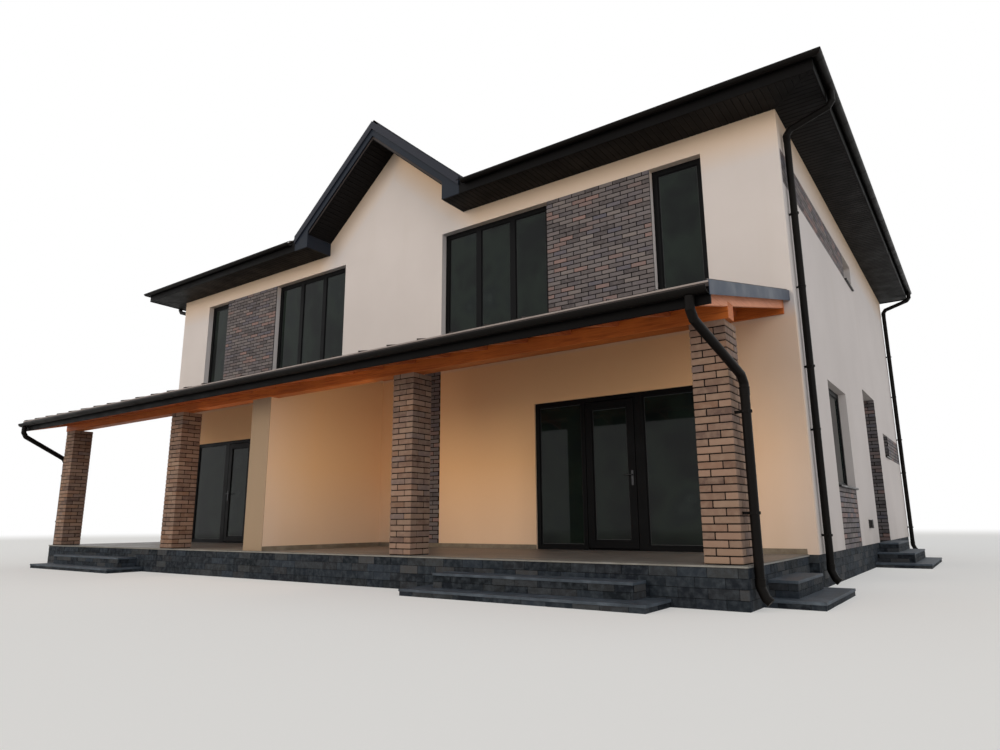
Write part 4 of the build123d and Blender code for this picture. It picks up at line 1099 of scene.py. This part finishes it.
# %% Straps and beads of the gutters
gutter_radius, strap_thickness, strap_width = 0.062, 0.003, 0.026
strap_rings = []
for step in range(13):      # from the back rim to just below the front rim
    angle = math.radians(-20 - 160 * step / 12)
    strap_rings.append([
        (end * strap_width, -radius * math.cos(angle), radius * math.sin(angle))
        for radius, ends in ((gutter_radius + 0.0003, (-0.5, 0.5)),
                             (gutter_radius + strap_thickness, (0.5, -0.5))) for end in ends])
strap = put("strap", loft("strap", strap_rings))
side_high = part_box("side_gutters")[1]
ends_low, ends_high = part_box("front_rear_gutters")
porch_low, porch_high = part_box("porch_gutter")
line_x, front_y = side_high.x - gutter_radius, ends_low.y + gutter_radius
rear_y, rim = ends_high.y - gutter_radius, side_high.z
gutter_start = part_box("gable_boards")[1].x + 0.02
strap_meshes = both_homes(*[
    grow(spaced, gutter_paint, facing(way, corner), Length=length, Gap=0.16, Pattern=strap)
    for way, corner, length in (
        ("front", (gutter_start, front_y, rim), line_x - gutter_start),
        ("right", (line_x, front_y, rim), rear_y - front_y),
        ("back", (line_x, rear_y, rim), line_x))])
strap_meshes.append(grow(
    spaced, gutter_paint, moved((porch_low.x, porch_low.y + gutter_radius, porch_high.z)),
    Length=porch_high.x - porch_low.x, Gap=0.1, Pattern=strap))
gather("gutter_straps", strap_meshes, smooth=40)
bead = 0.0075
out = gutter_radius - bead
bead_meshes = both_homes(rod([
    (gutter_start, front_y - out, rim), (line_x + out, front_y - out, rim),
    (line_x + out, rear_y + out, rim), (0, rear_y + out, rim)], bead))
bead_meshes.append(rod([(x, porch_low.y + bead, porch_high.z) for x in (porch_low.x, porch_high.x)],
                       bead))
gather("gutter_beads", bead_meshes, gutter_paint, smooth=40)

# %% Sockets and extra clips of the pipes
def collar(radius, height, foot, thickness=0.004, lip=0.003, around=24):
    """A short tube round a pipe, with a rolled lip, standing on its foot's place."""
    outer = radius + thickness
    outline = [(radius, 0), (outer, 0), (outer, height - 0.014), (outer + lip, height - 0.010),
               (outer + lip, height - 0.003), (outer, height), (radius, height)]
    turns = [2 * math.pi * i / around for i in range(around)]
    mesh = loft("collar", [[(r * math.cos(t), r * math.sin(t), z) for t in turns]
                           for r, z in outline], closed=True)
    mesh.transform(moved(foot))
    return mesh


pipe_radius, clip_reach, socket_height, foot_height, clip_height = 0.047, 0.052, 0.085, 0.075, 0.03
foot_level, wall_face = 0.225, 7.5349       # the arms of the clips end just inside the wall
arm_half, arm_inset = 0.006, 0.002
clips = [box for box in islands("pipe_clips") if box[1].x > 0]
pipe_meshes = []
house_socket, porch_socket, extra_clips = 6.19, 2.08, (1.995, 3.97)     # heights above the ground
for boxes, top, clip_levels in (
        ([box for box in clips if box[1].y > 0], house_socket, extra_clips),
        ([box for box in clips if box[1].y < 0], porch_socket, ())):
    spot_x = max(high.x for low, high in boxes) - clip_reach / math.cos(math.radians(30))
    for spot_y in sorted({round((low.y + high.y) / 2, 3) for low, high in boxes}):
        for level, height in ((top, socket_height), (foot_level, foot_height),
                              *[(z, clip_height) for z in clip_levels]):
            pipe_meshes.append(collar(pipe_radius, height, (spot_x, spot_y, level)))
        for level in clip_levels:
            pipe_meshes.append(solid_box(
                (wall_face, spot_y - arm_half, level + arm_inset),
                (spot_x - pipe_radius, spot_y + arm_half, level + clip_height - arm_inset)))
        print("pipe at", round(spot_x, 3), spot_y)
gather("pipe_collars", both_homes(*pipe_meshes), gutter_paint, smooth=35)
hide_away(strap)

# %% [markdown]
# ## Beads and spacers of the glass
# Each pane is held by a narrow bead all round. Behind it a grey spacer bar shows, which keeps the
# two sheets of a sealed pane apart. Both are rims of four bars, so one small tree makes them, and
# it is asked once for each pane with that pane's own width and height.

# %% Tree for a rim
rim_tree, rim_width, rim_height, bar, bar_depth, paint = new_tree(
    "rim_of_bars", Width=1.0, Height=1.0, Bar=0.014, Depth=0.01)
bars = add_node(rim_tree, "GeometryNodeJoinGeometry")
inner_height = rim_height - bar * 2.0
for upright in (True, False):
    size = vector(rim_tree, X=bar if upright else rim_width, Y=bar_depth,
                  Z=inner_height if upright else bar)
    span, other_span = (rim_width, rim_height) if upright else (rim_height, rim_width)
    for centre in (bar * 0.5, span - bar * 0.5):
        middle = other_span * 0.5
        where = vector(rim_tree, X=centre if upright else middle, Y=bar_depth * -0.5,
                       Z=middle if upright else centre)
        one_bar = add_node(rim_tree, "GeometryNodeTransform", Translation=where,
                           Geometry=add_node(rim_tree, "GeometryNodeMeshCube", Size=size))
        fill(rim_tree, bars.socket.node.inputs[0], one_bar)
end_tree(bars, paint)


def rim_on(side, bar_width, thick, material):
    """A rim on a side, which is (matrix, width, height)."""
    matrix, width, height = side
    return grow(rim_tree, material, matrix, Width=width, Height=height, Bar=bar_width, Depth=thick)


def rims(*names):
    """Beads and spacers on the outer side of every pane of the glass pieces."""
    return [rim_on(side_of(low, high, outer_side(low, high)), *kind)
            for name in names for low, high in islands(name)
            for kind in ((0.0165, 0.009, frame_foil), (0.023, 0.0005, spacer_metal))]


# %% Rims of all the panes
gather("glass_rims", rims("window_glass", "screen_glass", "side_door_glass"))
gather("door_rims", rims("door_glass"), body="porch_door")

# %% [markdown]
# ## Vents
# The small vents in the side walls are plastic grilles: a square rim with sloping blades. The rim
# comes from the same tree as the beads, and the blades are copies of one along a run.

# %% Louvred vents
low, high = islands("side_vents")[-1]       # on the right home; the other is its mirror image
side, wide, tall = side_of(low, high, "right")
vent_bar, overlap = 0.014, 0.001        # the blades run a little way into the rim's bars
blade_half = Vector((0.0015, wide / 2 - vent_bar + overlap, 0.009))
blade = put("blade", solid_box(-blade_half, blade_half, moved((0, 0, 0), math.radians(35), "Y")))
blades = grow(spaced, vent_foil, moved((high.x + 0.001, (low.y + high.y) / 2, low.z + vent_bar),
                                       math.radians(-90), "Y"),
              Length=tall - 2 * vent_bar, Spacing=0.0165, Gap=0.008, Pattern=blade)
hide_away(blade)
gather("vent_louvres",
       both_homes(rim_on((side, wide, tall), vent_bar, 0.006, vent_foil), blades))

# %% [markdown]
# ## Porch floor
# The tree for courses lays tiles too. Low skirting strips run along both sides of the party wall,
# as one course. The floor is laid with large stoneware slabs, 60 by 30 cm with 4 mm joints, and
# paler ones along the front edge. They are bricks lying down: the tree lays them facing up,
# 1.5 mm above the frame's own floor, which becomes the grout.

# %% Skirting along the party wall
tile_length = 0.6
skirt_low, skirt_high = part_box("porch_skirting")
end_low, end_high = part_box("party_wall_end")
skirt_height, skirt_depth = skirt_high.z - skirt_low.z, 0.009
skirt_pattern = block("skirt_pattern", (tile_length, skirt_depth, skirt_height), 0.0015)
out = Vector((skirt_depth, 0, 0))
wall_low = Vector((end_low.x, end_low.y, skirt_low.z)) - out
wall_high = Vector((end_high.x, 0, skirt_high.z)) + out
gather("end_skirting", [
    lay(side_of(wall_low, wall_high, way), skirt_pattern, skirt_height, 0.003, skirting_tile, 230,
        Unevenness=0.0) for way in ("right", "left")])
hide_away(skirt_pattern)

# %% Porch floor tiles
floor_low, floor_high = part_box("porch_floor")
tile_depth, tile_joint = 0.3, 0.004
tile_pattern = block("tile_pattern", (tile_length, 0.004, tile_depth), 0.001)
edge_end = floor_low.y + tile_depth
floor_meshes = []
for from_y, to_y, finish, start in ((floor_low.y, edge_end, edge_tile, 0.0),
                                    (edge_end + tile_joint, floor_high.y, floor_tile, 0.1)):
    side = (facing("up", (floor_low.x, from_y, floor_high.z + 0.0015)),
            floor_high.x - floor_low.x, to_y - from_y)
    floor_meshes.append(lay(side, tile_pattern, tile_depth, tile_joint, finish, 210, Start=start,
                            Unevenness=0.0))
gather("floor_tiles", floor_meshes)
nodes["porch_floor"].data.materials[0] = edge_tile
hide_away(tile_pattern)

# %% [markdown]
# ## Tiled roofs
# The slopes carry profiled sheet made to look like tiles: waves across, and a small step at each
# course where one row laps the next. The tree starts from a flat grid and moves each point by a
# rule: its column sets its height on the wave, and its row in the grid sets which course it is in
# and whether it is at the course's head or its raised foot. Each sheet is then cut to its slope.

# %% Tree for the tiled sheet
tile_width, tile_course, per_wave = 0.183, 0.35, 6.0
sheet_tree, waves, course_count, wave, course, rise, step_height, paint = new_tree(
    "tiled_sheet", Waves=10, Courses=10, Wave=tile_width, Course=tile_course, Rise=0.018,
    Step=0.014)
lap = 0.985     # how much of its course a tile's visible length takes
along_count = course_count * 2.0
grid = add_node(sheet_tree, "GeometryNodeMeshGrid", Size_X=1.0, Size_Y=1.0,
                Vertices_X=waves * per_wave + 1.0, Vertices_Y=along_count)
column, line_number = row_and_place(add_node(sheet_tree, "GeometryNodeInputIndex"), along_count)
row = ((line_number + 0.5) / 2.0).calc("FLOOR")
at_head = line_number % 2.0
swing = (column * (2 * math.pi / per_wave)).calc("COSINE")
where = vector(sheet_tree, X=column * (wave / per_wave),
               Y=row * course + at_head * (course * lap),
               Z=(swing * 0.5 + 0.5) * rise + (1.0 - at_head) * step_height)
end_tree(add_node(sheet_tree, "GeometryNodeSetPosition", Geometry=grid, Position=where), paint)


def tile_slope(corners, up_slope, hem=0.03):
    """Tiled sheet on a slope given by its corners, whose first edge is the eaves."""
    corners = [Vector(c) for c in corners]
    start, along = corners[0], (corners[1] - corners[0]).normalized()
    up_slope = Vector(up_slope).normalized()
    outward = along.cross(up_slope).normalized()
    reach = max((c - start).dot(up_slope) for c in corners)
    left, right = [pick((c - start).dot(along) for c in corners) for pick in (min, max)]
    mesh = grow(sheet_tree, roof_paint, moved(start + along * left + outward * 0.003)
                @ Matrix((along, up_slope, outward)).transposed().to_4x4(),
                Waves=math.ceil((right - left) / tile_width) + 1,
                Courses=math.ceil(reach / tile_course) + 1)
    work = opened(mesh)
    for corner, after in zip(corners, corners[1:] + corners[:1]):
        slice_off(work, corner, (after - corner).cross(outward))
    drop_slivers(work)
    made = bmesh.ops.extrude_edge_only(work, edges=[e for e in work.edges if e.is_boundary])["geom"]
    bmesh.ops.translate(work, vec=-outward * hem,
                        verts=[v for v in made if isinstance(v, bmesh.types.BMVert)])
    bmesh.ops.holes_fill(work, edges=[e for e in work.edges if e.is_boundary], sides=0)
    work.normal_update()
    if sum(f.normal.dot(outward) < -0.2 for f in work.faces) > len(work.faces) / 2:
        bmesh.ops.reverse_faces(work, faces=work.faces)
    return settle(work, mesh)


# %% Main and gable roofs
roof_low, roof_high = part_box("main_roof")
hip_run, ridge_y = (roof_high.y - roof_low.y) / 2, (roof_high.y + roof_low.y) / 2
eaves_level, top_z = gable_low.z, roof_high.z
pitch = math.atan2(top_z - eaves_level, hip_run)
ridge_half = roof_high.x - hip_run
gable_foot, gable_back = gable_high.x, gable_high.y
lip = 0.045
eave_x, eave_y, rear_y = roof_high.x + lip, roof_low.y - lip, roof_high.y + lip
eave_z = eaves_level - lip * math.tan(pitch)


def slope_up(dx, dy, angle):
    """The direction up a slope."""
    return (dx * math.cos(angle), dy * math.cos(angle), math.sin(angle))


valley_top = eaves_level + (gable_back - roof_low.y) * math.tan(pitch)
front = tile_slope([(gable_foot, eave_y, eave_z), (eave_x, eave_y, eave_z),
                    (ridge_half, ridge_y, top_z), (0, ridge_y, top_z),
                    (0, gable_back, valley_top)], slope_up(0, 1, pitch))
flank = tile_slope([(eave_x, eave_y, eave_z), (eave_x, rear_y, eave_z),
                    (ridge_half, ridge_y, top_z)], slope_up(-1, 0, pitch))
gable_pitch = math.atan2(gable_high.z - eaves_level, gable_foot)
gable_up = slope_up(-1, 0, gable_pitch)
verge_y = gable_low.y + 0.06
gable = tile_slope([(gable_foot, verge_y, eaves_level), (gable_foot, gable_back, eaves_level),
                    (0, gable_back, gable_high.z), (0, verge_y, gable_high.z)], gable_up)
valley_foot = Vector((gable_foot, gable_low.y, eaves_level))
valley = Vector((0, gable_back, gable_high.z)) - valley_foot
away = valley.cross(Vector((0, 1, 0)).cross(Vector(gable_up)))
if away.y < 0:
    away = -away
cut(gable, (valley_foot, away))
rear = tile_slope([(eave_x, rear_y, eave_z), (-eave_x, rear_y, eave_z),
                   (-ridge_half, ridge_y, top_z), (ridge_half, ridge_y, top_z)],
                  slope_up(0, -1, pitch))
gather("roof_tiles", [*both_homes(front, flank, gable), rear], smooth=32)

# %% Verge caps of the gable
rake_length = math.hypot(gable_foot, gable_high.z - eaves_level)
cap_past, cap_width, cap_height = 0.06, 0.10, 0.034     # it runs past the ridge, and is cut there
cap = solid_box((0, 0, 0), (rake_length + cap_past, cap_width, cap_height),
                moved((gable_foot, gable_low.y, eaves_level), math.pi + gable_pitch, "Y")
                @ Matrix.Scale(-1, 4, (0, 0, 1)))
cap.flip_normals()
cut(cap, ((0, 0, 0), (-1, 0, 0)))
gather("verge_caps", both_homes(cap), barge_cover)

# %% [markdown]
# ### Porch roof
# The long lean-to is covered with flat sheet. Its panels are folded together in upright seams
# every half metre, and a drip edge closes it above the gutter; its pale colour is a painted
# reflection of the sky on the sheet's front edge. The frame's slab is the sheet itself; the seams
# are copies of one thin rib, and the drip edge is a folded strip.

# %% Seams and drip edge of the porch roof
sheet_low, sheet_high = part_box("porch_roofing")
sheet_points = [vert.co for vert in nodes["porch_roofing"].data.vertices]
front_top = max(point.z for point in sheet_points if point.y < sheet_low.y + 0.01)
back_top = max(point.z for point in sheet_points if point.y > sheet_high.y - 0.01)
porch_depth, porch_width = sheet_high.y - sheet_low.y, sheet_high.x - sheet_low.x
sheet_fall = math.atan2(back_top - front_top, porch_depth)
rib_half, rib_inset, rib_sunk, rib_height = 0.006, 0.012, 0.004, 0.024
rib = put("rib", solid_box((-rib_half, rib_inset, -rib_sunk),
                           (rib_half, porch_depth / math.cos(sheet_fall) - rib_inset, rib_height)))
seams = grow(spaced, roof_paint, moved((sheet_low.x, sheet_low.y, front_top), sheet_fall, "X"),
             Length=porch_width, Spacing=0.52, Gap=0.02, Pattern=rib)
hide_away(rib)
gather("porch_seams", [seams])
drip = solid_box((sheet_low.x, sheet_low.y - 0.004, front_top - 0.014),
                 (sheet_high.x, sheet_low.y + 0.010, front_top + 0.003))
gather("porch_drip", [drip], painted_reflection_drip_edge)
